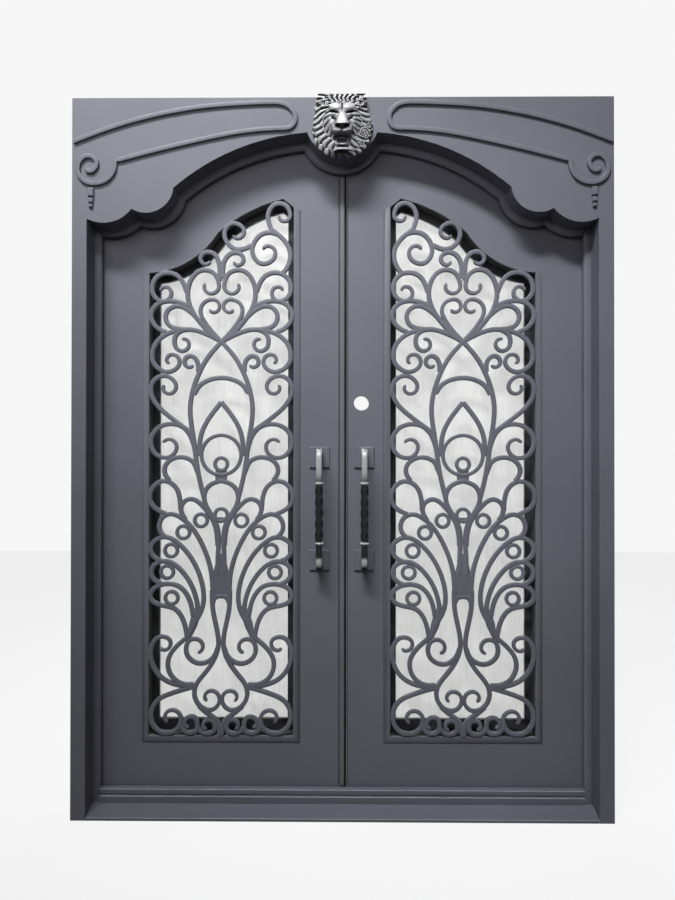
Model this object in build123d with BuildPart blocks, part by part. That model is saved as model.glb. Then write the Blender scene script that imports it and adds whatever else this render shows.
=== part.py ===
from build123d import *
import os
from math import cos, degrees, hypot, pi, radians, sin, sqrt

os.makedirs("parts", exist_ok=True)

# A pair of wrought iron doors in a steel box frame.
# X runs across the doorway, +Y points indoors, Z is up.
# The origin is the middle of the underside of the sill.

# Overall frame
door_width = 1828.8
door_height = 2438.4
frame_depth = 152.4
tube_face = 50.8
tube_radius = 2.5

# Reveal, and the stops that the leaves close against
reveal_depth = 73.0
stop_projection = 23.0
stop_chamfer = 8.0
stop_gap = 5.6

# Sill and threshold
sill_lip = 10.0
sill_rise = 31.0
sill_inner_height = 20.0
threshold_height = 70.0
ledge_height = 49.0
ledge_projection = 6.0
groove_width = 4.0
groove_depth = 3.0

# Leaves
leaf_thickness = 50.8
jamb_gap = 5.0
meeting_gap = 8.0
left_leaf_edge = 9.0
leaf_bottom_gap = 9.0
leaf_top_gap = 5.6

# Panel opening in each leaf
lock_stile_width = 160.0
hinge_stile_width = 177.6
top_rail_height = 247.5
opening_bottom = 243.5
shoulder_drop = 261.0
turn_drop = 120.0
turn_inset = 270.0
hollow_bulge = 34.4
full_bulge = 15.9
corner_cut = (38.0, 30.0)

# Ironwork in the panel
trim_width = 24.0
trim_lap = 4.0
trim_proud = 6.0
bar_width = 14.0
bar_tip_width = 10.0
bar_depth = 12.0
ring_bar_width = 11.0
ring_sides = 10
facet_turn = 48.0
facet_sag = 3.0

# Glazed sash behind the leaf
sash_side_inset = 25.0
sash_bottom_inset = 40.0
sash_lap = 18.0
sash_thickness = 20.0
glass_thickness = 12.0
glass_cover = 8.0
glass_clearance = 0.4

# Meeting strip on the left leaf
astragal_width = 30.0
astragal_proud = 10.0
astragal_bevel = 4.0
astragal_end_gap = 8.0

# Rubber seal on the left leaf's meeting edge, short of the right leaf's swing
seal_reach = 5.2
seal_depth = 16.0
seal_setback = 17.0

# Lock bore in the right leaf
lock_bore_diameter = 54.0
lock_bore_backset = 52.0
lock_bore_height = 1415.0

# Pulls
pull_center = 78.0
pull_section = 21.0
pull_standoff = 62.0
pull_top = 1254.0
pull_length = 423.0
pull_bend = 24.0
pull_plate_width = 70.0
pull_plate_height = 73.0
pull_plate_thickness = 6.0
pull_plate_bevel = 2.0
pull_corner = 3.0
collar_offset = 120.0
collar_spacing = 205.0
collar_radius = 17.0
collar_height = 16.0
collar_bevel = 4.0
grip_half_diagonal = 14.0
grip_turn = 450.0
grip_spans = 15

# Hinges on the indoor side
hinge_radius = 9.5
hinge_pin_radius = 5.0
hinge_running_gap = 0.3
hinge_knuckle = 52.0
hinge_lug = 22.0
hinge_lug_thickness = 7.0
hinge_pin_recess = 6.0
hinge_bottom_height = 300.0
hinge_top_drop = 252.0

# Header curve: places are in from the jamb's inner face and down from the head
lobe_foot = (0.0, 357.6)
lobe_cusp = (151.6, 324.6)
arch_foot = (293.6, 253.6)
outer_lobe_bulge = 28.5
inner_lobe_bulge = 43.7
arch_rise = 39.2
dip_half_width = 118.0
dip_drop = 151.6
dip_radius = 125.0

# Header ornament
header_bar_width = 16.0
header_bar_proud = 9.0
volute_tip_width = 11.0
pendant_inset = 66.4
pendant_bevel = 3.0

# Lion head
lion_width = 206.0
lion_height = 210.0
lion_mane_depth = 18.0
lion_face_depth = 58.0
mane_locks = 22
mane_groove = 0.93
face_facets = 12

# Places worked out from the sizes above
front = -frame_depth / 2
back = frame_depth / 2
jamb_inner = door_width / 2 - tube_face
head_bottom = door_height - tube_face
stop_front = front + reveal_depth
leaf_front = back - leaf_thickness
stop_back = leaf_front - stop_gap
stop_inner = jamb_inner - stop_projection
leaf_outer = jamb_inner - jamb_gap
right_leaf_edge = left_leaf_edge + meeting_gap
leaf_bottom = sill_inner_height + leaf_bottom_gap
leaf_top = head_bottom - leaf_top_gap
opening_near = left_leaf_edge + lock_stile_width
opening_far = leaf_outer - hinge_stile_width
opening_center = (opening_near + opening_far) / 2
opening_half_width = (opening_far - opening_near) / 2
opening_inner_rise = leaf_top - top_rail_height - opening_bottom
opening_outer_rise = opening_inner_rise - shoulder_drop
hinge_top_height = leaf_top - hinge_top_drop
hinge_heights = (hinge_bottom_height, (hinge_bottom_height + hinge_top_height) / 2, hinge_top_height)
hinge_x = (jamb_inner + leaf_outer) / 2
hinge_y = back + hinge_radius + hinge_running_gap
dip_bottom = head_bottom - dip_drop
dip_center = dip_bottom + dip_radius
dip_cusp = dip_center - sqrt(dip_radius ** 2 - dip_half_width ** 2)
lion_middle = door_height - lion_height / 2


# Depth line of the weathered sill, from its lip up to the threshold stop
def sill_slope_height(y):
    run = stop_back - front
    return sill_lip + (sill_rise - sill_lip) * (y - front) / run


def save(name, piece):
    piece.label = name
    export_step(piece, "parts/" + name + ".step")


def side_name(side):
    return "left" if side < 0 else "right"


# Jambs and head of the box frame
for side in (-1, 1):
    jamb_x = side * (jamb_inner + tube_face / 2)
    with BuildPart() as jamb:
        with BuildSketch(Plane.XY):
            with Locations((jamb_x, 0)):
                Rectangle(tube_face, frame_depth)
        extrude(amount=door_height)
        fillet(jamb.edges().filter_by(Axis.Z), tube_radius)
    save(side_name(side) + "_jamb", jamb.part)

with BuildPart() as head:
    with BuildSketch(Plane.XY.offset(head_bottom)):
        Rectangle(2 * jamb_inner, frame_depth)
    extrude(amount=tube_face)
save("head", head.part)

# Sill, with a weathered slope outside and a flat tread inside
with BuildPart() as sill:
    with BuildSketch(Plane.YZ.offset(-jamb_inner)):
        with BuildLine():
            Polyline(
                (front, 0),
                (front, sill_lip),
                (stop_back, sill_rise),
                (stop_back, sill_inner_height),
                (back, sill_inner_height),
                (back, 0),
                close=True,
            )
        make_face()
    extrude(amount=2 * jamb_inner)
save("sill", sill.part)

# Threshold stop, with a lower ledge that stands proud of the upper band
with BuildPart() as threshold_stop:
    ledge_front = stop_front - ledge_projection
    groove_top = ledge_height + groove_width
    groove_back = stop_front + groove_depth
    with BuildSketch(Plane.YZ.offset(-stop_inner)):
        with BuildLine():
            Polyline(
                (ledge_front, sill_slope_height(ledge_front)),
                (ledge_front, ledge_height),
                (groove_back, ledge_height),
                (groove_back, groove_top),
                (stop_front, groove_top),
                (stop_front, threshold_height),
                (stop_back, threshold_height),
                (stop_back, sill_rise),
                close=True,
            )
        make_face()
    extrude(amount=2 * stop_inner)
save("threshold_stop", threshold_stop.part)


# Header, left of the middle: two small lobes, the main arch, and a dip round the lion
def header_half():
    def by_jamb(inward, drop):
        return (inward - jamb_inner, head_bottom - drop)
    foot = by_jamb(*lobe_foot)
    cusp = by_jamb(*lobe_cusp)
    arch = by_jamb(*arch_foot)
    dip = (-dip_half_width, dip_cusp)
    dip_turn = radians(45)
    dip_side = (-dip_radius * sin(dip_turn), dip_center - dip_radius * cos(dip_turn))
    Line((0, head_bottom), by_jamb(0, 0))
    Line(by_jamb(0, 0), foot)
    SagittaArc(foot, cusp, -outer_lobe_bulge)
    SagittaArc(cusp, arch, -inner_lobe_bulge)
    SagittaArc(arch, dip, arch_rise)
    ThreePointArc(dip, dip_side, (0, dip_bottom))
    Line((0, dip_bottom), (0, head_bottom))


with BuildPart() as header_panel:
    with BuildSketch(Plane.XZ.offset(-stop_front)) as header_face:
        with BuildLine():
            header_half()
        make_face()
        mirror(about=Plane.YZ)
    extrude(amount=reveal_depth)
save("header_panel", header_panel.part)

# Stop behind the header: its edge runs inside the curve by the stop's projection, and
# its outdoor corner is chamfered all the way round
header_shape = header_face.sketch_local
chamfer_back = stop_front + stop_chamfer
with BuildPart() as header_stop:
    for place, reach in (
        (stop_front, stop_projection - stop_chamfer),
        (chamfer_back, stop_projection),
    ):
        with BuildSketch(Plane.XZ.offset(-place)):
            add(header_shape)
            offset(amount=reach)
            with Locations((0, head_bottom - door_height / 2)):
                Rectangle(2 * stop_inner, door_height, mode=Mode.INTERSECT)
    loft(ruled=True)
    indoor_face = header_stop.faces().sort_by(Axis.Y)[-1]
    extrude(indoor_face, amount=stop_back - chamfer_back)
save("header_stop", header_stop.part)

for side in (-1, 1):
    with BuildPart() as side_stop:
        with BuildSketch(Plane.XY):
            with BuildLine():
                Polyline(
                    (side * jamb_inner, stop_front),
                    (side * (stop_inner + stop_chamfer), stop_front),
                    (side * stop_inner, stop_front + stop_chamfer),
                    (side * stop_inner, stop_back),
                    (side * jamb_inner, stop_back),
                    close=True,
                )
            make_face()
        extrude(amount=head_bottom)
        add(sill.part, mode=Mode.SUBTRACT)
    save(side_name(side) + "_stop", side_stop.part)


# Outline of a leaf's panel opening, set in by given amounts. The curved top rises
# towards the meeting edge, first hollow and then full, and ends in a cut corner.
def opening_face(side, grow, bottom_grow):
    def at(u, v):
        return (side * (opening_center - u), opening_bottom + v)
    w = opening_half_width
    low = at(-w, opening_outer_rise)
    turn = at(w - turn_inset, opening_inner_rise - turn_drop)
    high = at(w - corner_cut[0], opening_inner_rise)
    cut = at(w, opening_inner_rise - corner_cut[1])
    with BuildSketch() as outline:
        with BuildLine():
            Line(at(-w, 0), low)
            SagittaArc(low, turn, side * hollow_bulge)
            SagittaArc(turn, high, -side * full_bulge)
            Line(high, cut)
            Line(cut, at(w, 0))
            Line(at(w, 0), at(-w, 0))
        make_face()
        if grow:
            offset(amount=grow)
        if grow > 0:
            square_height = opening_outer_rise + grow
            with Locations(at(0, square_height / 2 - grow)):
                Rectangle(2 * (w + grow), square_height)
        if bottom_grow != grow:
            cut_height = opening_bottom - bottom_grow
            with Locations((side * opening_center, cut_height - w)):
                Rectangle(4 * w, 2 * w, mode=Mode.SUBTRACT)
    return outline.sketch_local


# Bars of the ironwork, drawn for a panel of the drawn size. Each is a stem of points across
# from the panel's middle and up from its bottom, and most end in a spiral: its eye, last
# radius and turn. The drawing is stretched to the leaf's own panel.
drawn_half_width = 256.0
drawn_rise = 1891.0
paired_bars = [
    # Lower leg of the cross, up into the heart's curl
    ([(-61, 838), (-84, 940), (-97, 1038), (-110, 1151), (-78, 1277), (-47, 1332), (0, 1386),
      (35, 1424), (62, 1462), (74, 1495), (65, 1521), (40, 1535)], (30, 1509, 16, 255)),
    # Shoulder scroll over the heart
    ([(18, 1396), (87, 1469), (119, 1544), (116, 1584), (101, 1617), (76, 1637), (51, 1639),
      (27, 1628), (11, 1596)], (38, 1583, 23, 230)),
    # Side scrolls and lobes down to the crown
    ([(123, 1561), (136, 1595), (157, 1620), (188, 1630), (220, 1622), (241, 1597),
      (245, 1567), (233, 1542)], (203, 1561, 14, -310)),
    ([(116, 1512), (153, 1526), (191, 1530), (223, 1521), (244, 1499), (249, 1474),
      (237, 1447), (214, 1428)], None),
    ([(42, 1410), (119, 1498), (150, 1512), (176, 1508), (194, 1490), (196, 1463),
      (183, 1443), (152, 1432), (105, 1429)], None),
    ([(0, 1386), (67, 1419), (143, 1424), (161, 1409), (166, 1386), (158, 1363)],
     (136, 1379, 17, -247)),
    ([(116, 1430), (165, 1424), (202, 1409), (230, 1383), (244, 1348), (240, 1313),
      (216, 1288), (191, 1280), (163, 1289)], (177, 1319, 12, -302)),
    ([(82, 1280), (82, 1303), (91, 1326), (109, 1336)], (111, 1314, 16, -235)),
    ([(96, 1059), (185, 1124), (240, 1183), (249, 1214), (242, 1244), (222, 1262),
      (198, 1266), (174, 1255), (160, 1231)], (187, 1226, 17, 222)),
    ([(90, 993), (100, 1031), (116, 1065), (138, 1086), (172, 1096), (205, 1092),
      (232, 1074), (247, 1047), (246, 1015), (230, 989), (205, 978), (177, 983),
      (160, 1003)], (186, 1016, 25, -171)),
    ([(88, 933), (99, 961), (122, 976), (151, 979), (178, 970), (197, 949), (200, 928),
      (179, 893)], None),
    ([(143, 793), (147, 838), (160, 872), (183, 891), (208, 895), (233, 882), (250, 855),
      (249, 823), (233, 800), (205, 784)], None),
    # Lancet over the ring, and the crown below it
    ([(0, 1173), (71, 1058), (77, 982)], None),
    ([(0, 896), (31, 886), (52, 867), (60, 838), (51, 804), (21, 754), (11, 631),
      (12, 565)], None),
    # Fan of feathers
    ([(21, 737), (65, 807), (107, 832), (128, 824), (141, 803), (138, 780), (121, 754)],
     None),
    ([(29, 505), (33, 565), (64, 666), (111, 740), (145, 768), (177, 779), (205, 768),
      (218, 742), (213, 715), (193, 695)], None),
    ([(61, 428), (60, 477), (85, 587), (142, 668), (202, 698), (228, 689), (246, 669),
      (246, 645), (232, 625), (203, 612)], None),
    ([(79, 428), (87, 480), (132, 571), (192, 612), (218, 610), (239, 596), (246, 577),
      (240, 554), (219, 537)], None),
    ([(98, 421), (108, 468), (148, 524), (217, 528), (240, 514), (249, 493), (242, 474),
      (220, 461), (188, 454), (161, 444), (140, 420), (126, 384), (118, 340)], None),
    # Lyre and volutes at the foot
    ([(31, 512), (29, 449), (12, 361), (9, 319), (20, 276), (66, 208), (86, 180),
      (93, 147), (82, 115), (60, 96), (36, 91), (15, 102)], (38, 132, 14, -279)),
    ([(12, 309), (24, 280), (47, 260), (73, 254), (100, 263), (119, 285), (122, 312),
      (112, 333)], (88, 309, 19, 205)),
    ([(111, 351), (168, 300), (184, 271), (186, 242), (175, 212), (151, 189), (121, 180),
      (91, 181)], None),
    ([(105, 172), (154, 179), (197, 196), (227, 224), (243, 257), (248, 295), (240, 325),
      (221, 345), (199, 347), (179, 333)], (202, 321, 18, 163)),
    ([(95, 172), (186, 144), (220, 126), (239, 102), (246, 70), (239, 40), (216, 16),
      (188, 10), (159, 20), (143, 43), (142, 70)], (175, 61, 18, -213)),
    ([(142, 49), (133, 23), (109, 11), (86, 21), (82, 43), (93, 65)], (109, 42, 12, -200)),
    ([(82, 32), (68, 16), (46, 9), (25, 18), (20, 36), (28, 53)], (45, 34, 11, -200)),
    ([(77, 105), (53, 84), (9, 46), (5, 0)], None),
]

# Bars that stand once in each leaf, where the opening's top slopes
single_bars = [
    ([(-96, 1200), (-77, 1231), (-42, 1252), (42, 1252), (77, 1231), (96, 1200)], None),
    ([(-7, 1603), (-12, 1673), (-26, 1696), (-47, 1703), (-68, 1695)], (-54, 1679, 18, 200)),
    ([(6, 1610), (5, 1649), (15, 1681), (34, 1698), (58, 1700)], (55, 1674, 14, -240)),
    ([(105, 1726), (67, 1712), (38, 1719), (18, 1739), (10, 1766), (18, 1791), (37, 1804),
      (60, 1800), (78, 1782)], (54, 1772, 18, -165)),
    ([(200, 1765), (172, 1772), (142, 1766), (118, 1742), (108, 1712), (116, 1682),
      (138, 1663), (162, 1664), (184, 1680)], (161, 1701, 20, 190)),
    ([(179, 1775), (164, 1834), (176, 1861), (199, 1874), (225, 1868), (240, 1845),
      (239, 1821)], (217, 1833, 15, -145)),
    ([(175, 1782), (225, 1739), (241, 1704), (239, 1667), (224, 1638), (207, 1621)], None),
]

# Rings: place and radius of the centre line
single_rings = [(0, 955, 22), (0, 776, 22), (0, 987, 70)]
paired_rings = [(71, 757, 22), (133, 715, 22), (176, 651, 22), (190, 575, 22), (174, 476, 22)]

# Solid webs where bars run together
webs = [
    [(-14, 896), (-16, 932), (16, 932), (14, 896)],
    [(-20, 742), (-26, 764), (26, 764), (20, 742)],
    [(-12, 640), (-36, 500), (-30, 470), (0, 486), (30, 470), (36, 500), (12, 640)],
]
paired_webs = [[(62, 470), (96, 440), (118, 344), (104, 352), (70, 420)]]


# Centre line of a bar: its stem, then a spiral that tightens towards the eye
def bar_points(stem, spiral):
    points = list(stem)
    if spiral:
        eye_u, eye_v, last_radius, turn = spiral
        start_u, start_v = stem[-1]
        first_radius = hypot(start_u - eye_u, start_v - eye_v)
        first_angle = degrees(Vector(1, 0, 0).get_signed_angle(
            Vector(start_u - eye_u, start_v - eye_v, 0), Vector(0, 0, 1)) * pi / 180)
        steps = max(2, round(abs(turn) / 45))
        for step in range(1, steps + 1):
            share = step / steps
            radius = first_radius + (last_radius - first_radius) * share
            angle = radians(first_angle + turn * share)
            points.append((eye_u + radius * cos(angle), eye_v + radius * sin(angle)))
    return points


# Stations along a smooth line: one wherever it has strayed from its chord by the facet
# sag, or has turned by the facet turn
def stations(curve):
    fine = 120
    kept = [0.0]
    last_place = curve.position_at(0)
    last_tangent = curve.tangent_at(0)
    for step in range(1, fine):
        place = curve.position_at(step / fine)
        tangent = curve.tangent_at(step / fine)
        turn = tangent.get_angle(last_tangent)
        sag = (place - last_place).length * radians(turn) / 8
        if turn >= facet_turn or sag >= facet_sag:
            kept.append(step / fine)
            last_place = place
            last_tangent = tangent
    kept.append(1.0)
    return kept


# Flat face of one bar of even width, narrowing only at a curled tip
def bar_face(points, width, tip_width, put):
    curve = Spline(*points)
    near_side = []
    far_side = []
    for place in stations(curve):
        center = curve.position_at(place)
        tangent = curve.tangent_at(place)
        narrowing = max(0.0, (place - 0.6) / 0.4)
        half = (width + (tip_width - width) * narrowing) / 2
        across = Vector(-tangent.Y, tangent.X, 0) * half
        near_side.append(put((center + across).X, (center + across).Y))
        far_side.append(put((center - across).X, (center - across).Y))
    outline = near_side + far_side[::-1]
    return make_face(Polyline(*outline, close=True))


def ring_face(u, v, radius, put):
    sides = max(ring_sides, round(radius / 4))
    outer = []
    inner = []
    for step in range(sides):
        angle = radians(360 / sides * step)
        big = radius + ring_bar_width / 2
        small = radius - ring_bar_width / 2
        outer.append(put(u + big * cos(angle), v + big * sin(angle)))
        inner.append(put(u + small * cos(angle), v + small * sin(angle)))
    disc = make_face(Polyline(*outer, close=True))
    hole = make_face(Polyline(*inner, close=True))
    return disc - hole


# Ironwork of one leaf: every bar, ring and web in one flat drawing
def ironwork(side):
    faces = []
    widen = opening_half_width / drawn_half_width
    heighten = opening_inner_rise / drawn_rise
    for hand in (-1, 1):
        def put(u, v):
            return (side * (opening_center - hand * widen * u), opening_bottom + heighten * v)
        for stem, spiral in paired_bars:
            tip = bar_tip_width if spiral else bar_width
            faces.append(bar_face(bar_points(stem, spiral), bar_width, tip, put))
        for u, v, radius in paired_rings:
            faces.append(ring_face(u, v, radius, put))
        for web in paired_webs:
            faces.append(make_face(Polyline(*[put(u, v) for u, v in web], close=True)))

    def put(u, v):
        return (side * (opening_center - widen * u), opening_bottom + heighten * v)
    for stem, spiral in single_bars:
        tip = bar_tip_width if spiral else bar_width
        faces.append(bar_face(bar_points(stem, spiral), bar_width, tip, put))
    for u, v, radius in single_rings:
        faces.append(ring_face(u, v, radius, put))
    for web in webs:
        faces.append(make_face(Polyline(*[put(u, v) for u, v in web], close=True)))
    return faces


# Leaves
for side in (-1, 1):
    name = side_name(side)
    meeting_edge = left_leaf_edge if side < 0 else right_leaf_edge
    panel_outer = side * (opening_center + opening_half_width)
    panel_inner = side * (opening_center - opening_half_width)

    with BuildPart() as hinge_stile:
        with BuildSketch(Plane.XY.offset(leaf_bottom)):
            with Locations(((side * leaf_outer + panel_outer) / 2, (leaf_front + back) / 2)):
                Rectangle(leaf_outer - abs(panel_outer), leaf_thickness)
        extrude(amount=leaf_top - leaf_bottom)
    save(name + "_hinge_stile", hinge_stile.part)

    with BuildPart() as lock_stile:
        with BuildSketch(Plane.XY.offset(leaf_bottom)):
            with Locations(((meeting_edge + panel_inner) / 2, (leaf_front + back) / 2)):
                Rectangle(abs(meeting_edge - panel_inner), leaf_thickness)
        extrude(amount=leaf_top - leaf_bottom)
        if side > 0:
            with BuildSketch(Plane.XZ.offset(-back)):
                with Locations((right_leaf_edge + lock_bore_backset, lock_bore_height)):
                    Circle(lock_bore_diameter / 2)
            extrude(amount=leaf_thickness, mode=Mode.SUBTRACT)
    save(name + "_lock_stile", lock_stile.part)

    with BuildPart() as bottom_rail:
        with BuildSketch(Plane.XY.offset(leaf_bottom)):
            with Locations((side * opening_center, (leaf_front + back) / 2)):
                Rectangle(2 * opening_half_width, leaf_thickness)
        extrude(amount=opening_bottom - leaf_bottom)
    save(name + "_bottom_rail", bottom_rail.part)

    opening = opening_face(side, 0, 0)
    with BuildPart() as top_rail:
        with BuildSketch(Plane.XZ.offset(-back)):
            rail_bottom = opening_bottom + opening_outer_rise - corner_cut[1]
            with Locations((side * opening_center, (rail_bottom + leaf_top) / 2)):
                Rectangle(2 * opening_half_width, leaf_top - rail_bottom)
            add(opening, mode=Mode.SUBTRACT)
        extrude(amount=leaf_thickness)
    save(name + "_top_rail", top_rail.part)

    # Trim round the opening, a lip inside it, and the scrollwork, welded as one
    trim_outline = opening_face(side, trim_width - trim_lap, trim_width - trim_lap)
    lip_outline = opening_face(side, -trim_lap, -trim_lap)
    scrollwork = ironwork(side)
    with BuildPart() as grille:
        with BuildSketch(Plane.XZ.offset(-leaf_front)):
            add(trim_outline)
            add(lip_outline, mode=Mode.SUBTRACT)
        extrude(amount=trim_proud)
        with BuildSketch(Plane.XZ.offset(trim_proud - leaf_front - bar_depth)):
            add(opening)
            add(lip_outline, mode=Mode.SUBTRACT)
        extrude(amount=bar_depth - trim_proud)
        with BuildSketch(Plane.XZ.offset(trim_proud - leaf_front - bar_depth)):
            add(scrollwork)
            add(opening, mode=Mode.INTERSECT)
        extrude(amount=bar_depth)
    save(name + "_grille", grille.part)

    # Sash that carries the glass, screwed to the indoor face of the leaf
    glass_front = back + (sash_thickness - glass_thickness) / 2
    pocket_grow = glass_cover
    glass_grow = glass_cover - glass_clearance
    sash_outline = opening_face(side, sash_lap, sash_lap)
    sight_outline = opening_face(side, -sash_side_inset, -sash_bottom_inset)
    pocket_outline = opening_face(side, pocket_grow - sash_side_inset,
                                  pocket_grow - sash_bottom_inset)
    glass_outline = opening_face(side, glass_grow - sash_side_inset,
                                 glass_grow - sash_bottom_inset)
    with BuildPart() as glass_frame:
        with BuildSketch(Plane.XZ.offset(-back - sash_thickness)):
            add(sash_outline)
            add(sight_outline, mode=Mode.SUBTRACT)
        extrude(amount=sash_thickness)
        with BuildSketch(Plane.XZ.offset(-glass_front - glass_thickness)):
            add(pocket_outline)
        extrude(amount=glass_thickness, mode=Mode.SUBTRACT)
    save(name + "_glass_frame", glass_frame.part)

    with BuildPart() as glass:
        with BuildSketch(Plane.XZ.offset(glass_clearance - glass_front - glass_thickness)):
            add(glass_outline)
        extrude(amount=glass_thickness - 2 * glass_clearance)
    save(name + "_glass", glass.part)

    # Pull: a square bar bent back to two plates, with collars and a twisted grip
    pull_x = side * pull_center
    pull_bottom = pull_top - pull_length
    plate_front = leaf_front - pull_plate_thickness
    pull_y = leaf_front - pull_standoff
    arm_heights = (pull_top - pull_section / 2, pull_bottom + pull_section / 2)
    with BuildPart() as pull_plates:
        with BuildSketch(Plane.XZ.offset(-leaf_front)):
            for arm_height in (arm_heights[0] - pull_section, arm_heights[1] + pull_section):
                with Locations((pull_x, arm_height)):
                    Rectangle(pull_plate_width, pull_plate_height)
        extrude(amount=pull_plate_thickness)
        chamfer(pull_plates.faces().sort_by(Axis.Y)[:2].edges(), pull_plate_bevel)
    save(name + "_pull_plates", pull_plates.part)

    grip_top = arm_heights[0] - collar_offset + pull_section / 2
    grip_bottom = grip_top - collar_spacing
    grip_side = grip_half_diagonal * sqrt(2)
    with BuildPart() as pull:
        for arm, collar_z in ((arm_heights[0], grip_top), (arm_heights[1], grip_bottom)):
            with BuildLine():
                FilletPolyline(
                    (pull_x, plate_front, arm),
                    (pull_x, pull_y, arm),
                    (pull_x, pull_y, collar_z),
                    radius=pull_bend,
                )
            with BuildSketch(Plane.XZ.offset(-plate_front)) as arm_end:
                with Locations((pull_x, arm)):
                    Rectangle(pull_section, pull_section)
                chamfer(arm_end.vertices(), pull_corner)
            sweep()
            with BuildSketch(Plane.XZ.offset(-pull_y)):
                with BuildLine():
                    Polyline(
                        (pull_x, collar_z - collar_height / 2),
                        (pull_x + collar_radius - collar_bevel, collar_z - collar_height / 2),
                        (pull_x + collar_radius, collar_z - collar_height / 2 + collar_bevel),
                        (pull_x + collar_radius, collar_z + collar_height / 2 - collar_bevel),
                        (pull_x + collar_radius - collar_bevel, collar_z + collar_height / 2),
                        (pull_x, collar_z + collar_height / 2),
                        close=True,
                    )
                make_face()
            revolve(axis=Axis((pull_x, pull_y, 0), (0, 0, 1)))
        for span in range(grip_spans + 1):
            span_height = grip_bottom + collar_spacing * span / grip_spans
            with BuildSketch(Plane.XY.offset(span_height)):
                with Locations((pull_x, pull_y)):
                    Rectangle(grip_side, grip_side, rotation=grip_turn * span / grip_spans)
        loft(ruled=True)
    save(name + "_pull", pull.part)

    # Hinges: a fixed barrel with its pin on the jamb, a turning barrel on the leaf
    axis_x = side * hinge_x
    with BuildPart() as frame_hinges:
        for height in hinge_heights:
            with BuildSketch(Plane.XY.offset(height - hinge_knuckle)):
                with Locations((axis_x, hinge_y)):
                    Circle(hinge_radius)
            extrude(amount=hinge_knuckle)
            with BuildSketch(Plane.XY.offset(height)):
                with Locations((axis_x, hinge_y)):
                    Circle(hinge_pin_radius)
            extrude(amount=hinge_knuckle - hinge_pin_recess)
            with BuildSketch(Plane.XY.offset(height - hinge_knuckle)):
                with Locations((axis_x + side * hinge_lug / 2, back + hinge_lug_thickness / 2)):
                    Rectangle(hinge_lug, hinge_lug_thickness)
            extrude(amount=hinge_knuckle)
    save(name + "_frame_hinges", frame_hinges.part)

    with BuildPart() as leaf_hinges:
        for height in hinge_heights:
            with BuildSketch(Plane.XY.offset(height + hinge_running_gap)):
                with Locations((axis_x, hinge_y)):
                    Circle(hinge_radius)
                with Locations((axis_x - side * hinge_lug / 2, back + hinge_lug_thickness / 2)):
                    Rectangle(hinge_lug, hinge_lug_thickness)
                with Locations((axis_x, hinge_y)):
                    Circle(hinge_pin_radius + hinge_running_gap, mode=Mode.SUBTRACT)
            extrude(amount=hinge_knuckle)
    save(name + "_leaf_hinges", leaf_hinges.part)

# Meeting strip, welded to the left leaf between the threshold and the header stop
with BuildPart() as astragal:
    strip_bottom = threshold_height + astragal_end_gap
    strip_top = dip_bottom - stop_projection - astragal_end_gap
    with BuildSketch(Plane.XY.offset(strip_bottom)):
        with Locations((left_leaf_edge - astragal_width / 2, leaf_front - astragal_proud / 2)):
            Rectangle(astragal_width, astragal_proud)
    extrude(amount=strip_top - strip_bottom)
    outer_face = astragal.faces().sort_by(Axis.Y)[0]
    chamfer(outer_face.edges().filter_by(Axis.Z), astragal_bevel)
save("astragal", astragal.part)

# Rubber seal that closes most of the slot between the leaves
with BuildPart() as meeting_seal:
    seal_front = leaf_front + seal_setback
    with BuildSketch(Plane.XY.offset(leaf_bottom)):
        with Locations((left_leaf_edge, seal_front + seal_depth / 2)):
            Rectangle(seal_reach, seal_depth, align=(Align.MIN, Align.CENTER))
    extrude(amount=leaf_top - leaf_bottom)
    seal_lip = meeting_seal.faces().sort_by(Axis.X)[-1]
    chamfer(seal_lip.edges().filter_by(Axis.Z), seal_reach / 2)
save("meeting_seal", meeting_seal.part)

# Raised bar on each side of the header. Its volute and its run over the jamb are measured
# in from the frame's side, its loop by the lion out from the middle, all down from the top.
bar_over_jamb = [(6, 150), (86, 119), (210, 79), (335, 50)]
bar_by_lion = [(454, 31), (329, 22), (236, 19), (193, 25), (164, 50), (158, 75), (171, 100),
               (205, 107), (361, 121), (486, 146)]
bar_return = [(210, 199), (148, 216)]
volute = [(148, 216), (142, 250), (119, 279), (85, 291), (55, 288), (30, 269), (21, 242),
          (28, 216), (48, 199), (70, 201), (85, 218), (81, 238), (67, 248)]
pendant_blocks = [(305.4, 30, 20), (339.4, 17, 17), (360.4, 13, 13)]
for side in (-1, 1):
    def from_side(inward, drop):
        return (side * (door_width / 2 - inward), door_height - drop)
    def from_middle(outward, drop):
        return (side * outward, door_height - drop)
    def same(x, z):
        return (x, z)
    bar_line = [from_side(*place) for place in bar_over_jamb]
    bar_line += [from_middle(*place) for place in bar_by_lion]
    bar_line += [from_side(*place) for place in bar_return]
    volute_line = [from_side(*place) for place in volute]
    raised_bar = bar_face(bar_line, header_bar_width, header_bar_width, same)
    volute_curl = bar_face(volute_line, header_bar_width, volute_tip_width, same)
    with BuildPart() as header_scroll:
        with BuildSketch(Plane.XZ.offset(-front)):
            add(raised_bar)
            add(volute_curl)
        extrude(amount=header_bar_proud)
    save(side_name(side) + "_header_scroll", header_scroll.part)

    with BuildPart() as pendant:
        with BuildSketch(Plane.XZ.offset(-front)):
            for drop, height, width in pendant_blocks:
                with Locations(from_side(pendant_inset, drop + height / 2)):
                    Rectangle(width, height)
        extrude(amount=header_bar_proud)
        chamfer(pendant.faces().sort_by(Axis.Y)[:3].edges(), pendant_bevel)
    save(side_name(side) + "_pendant", pendant.part)


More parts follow.
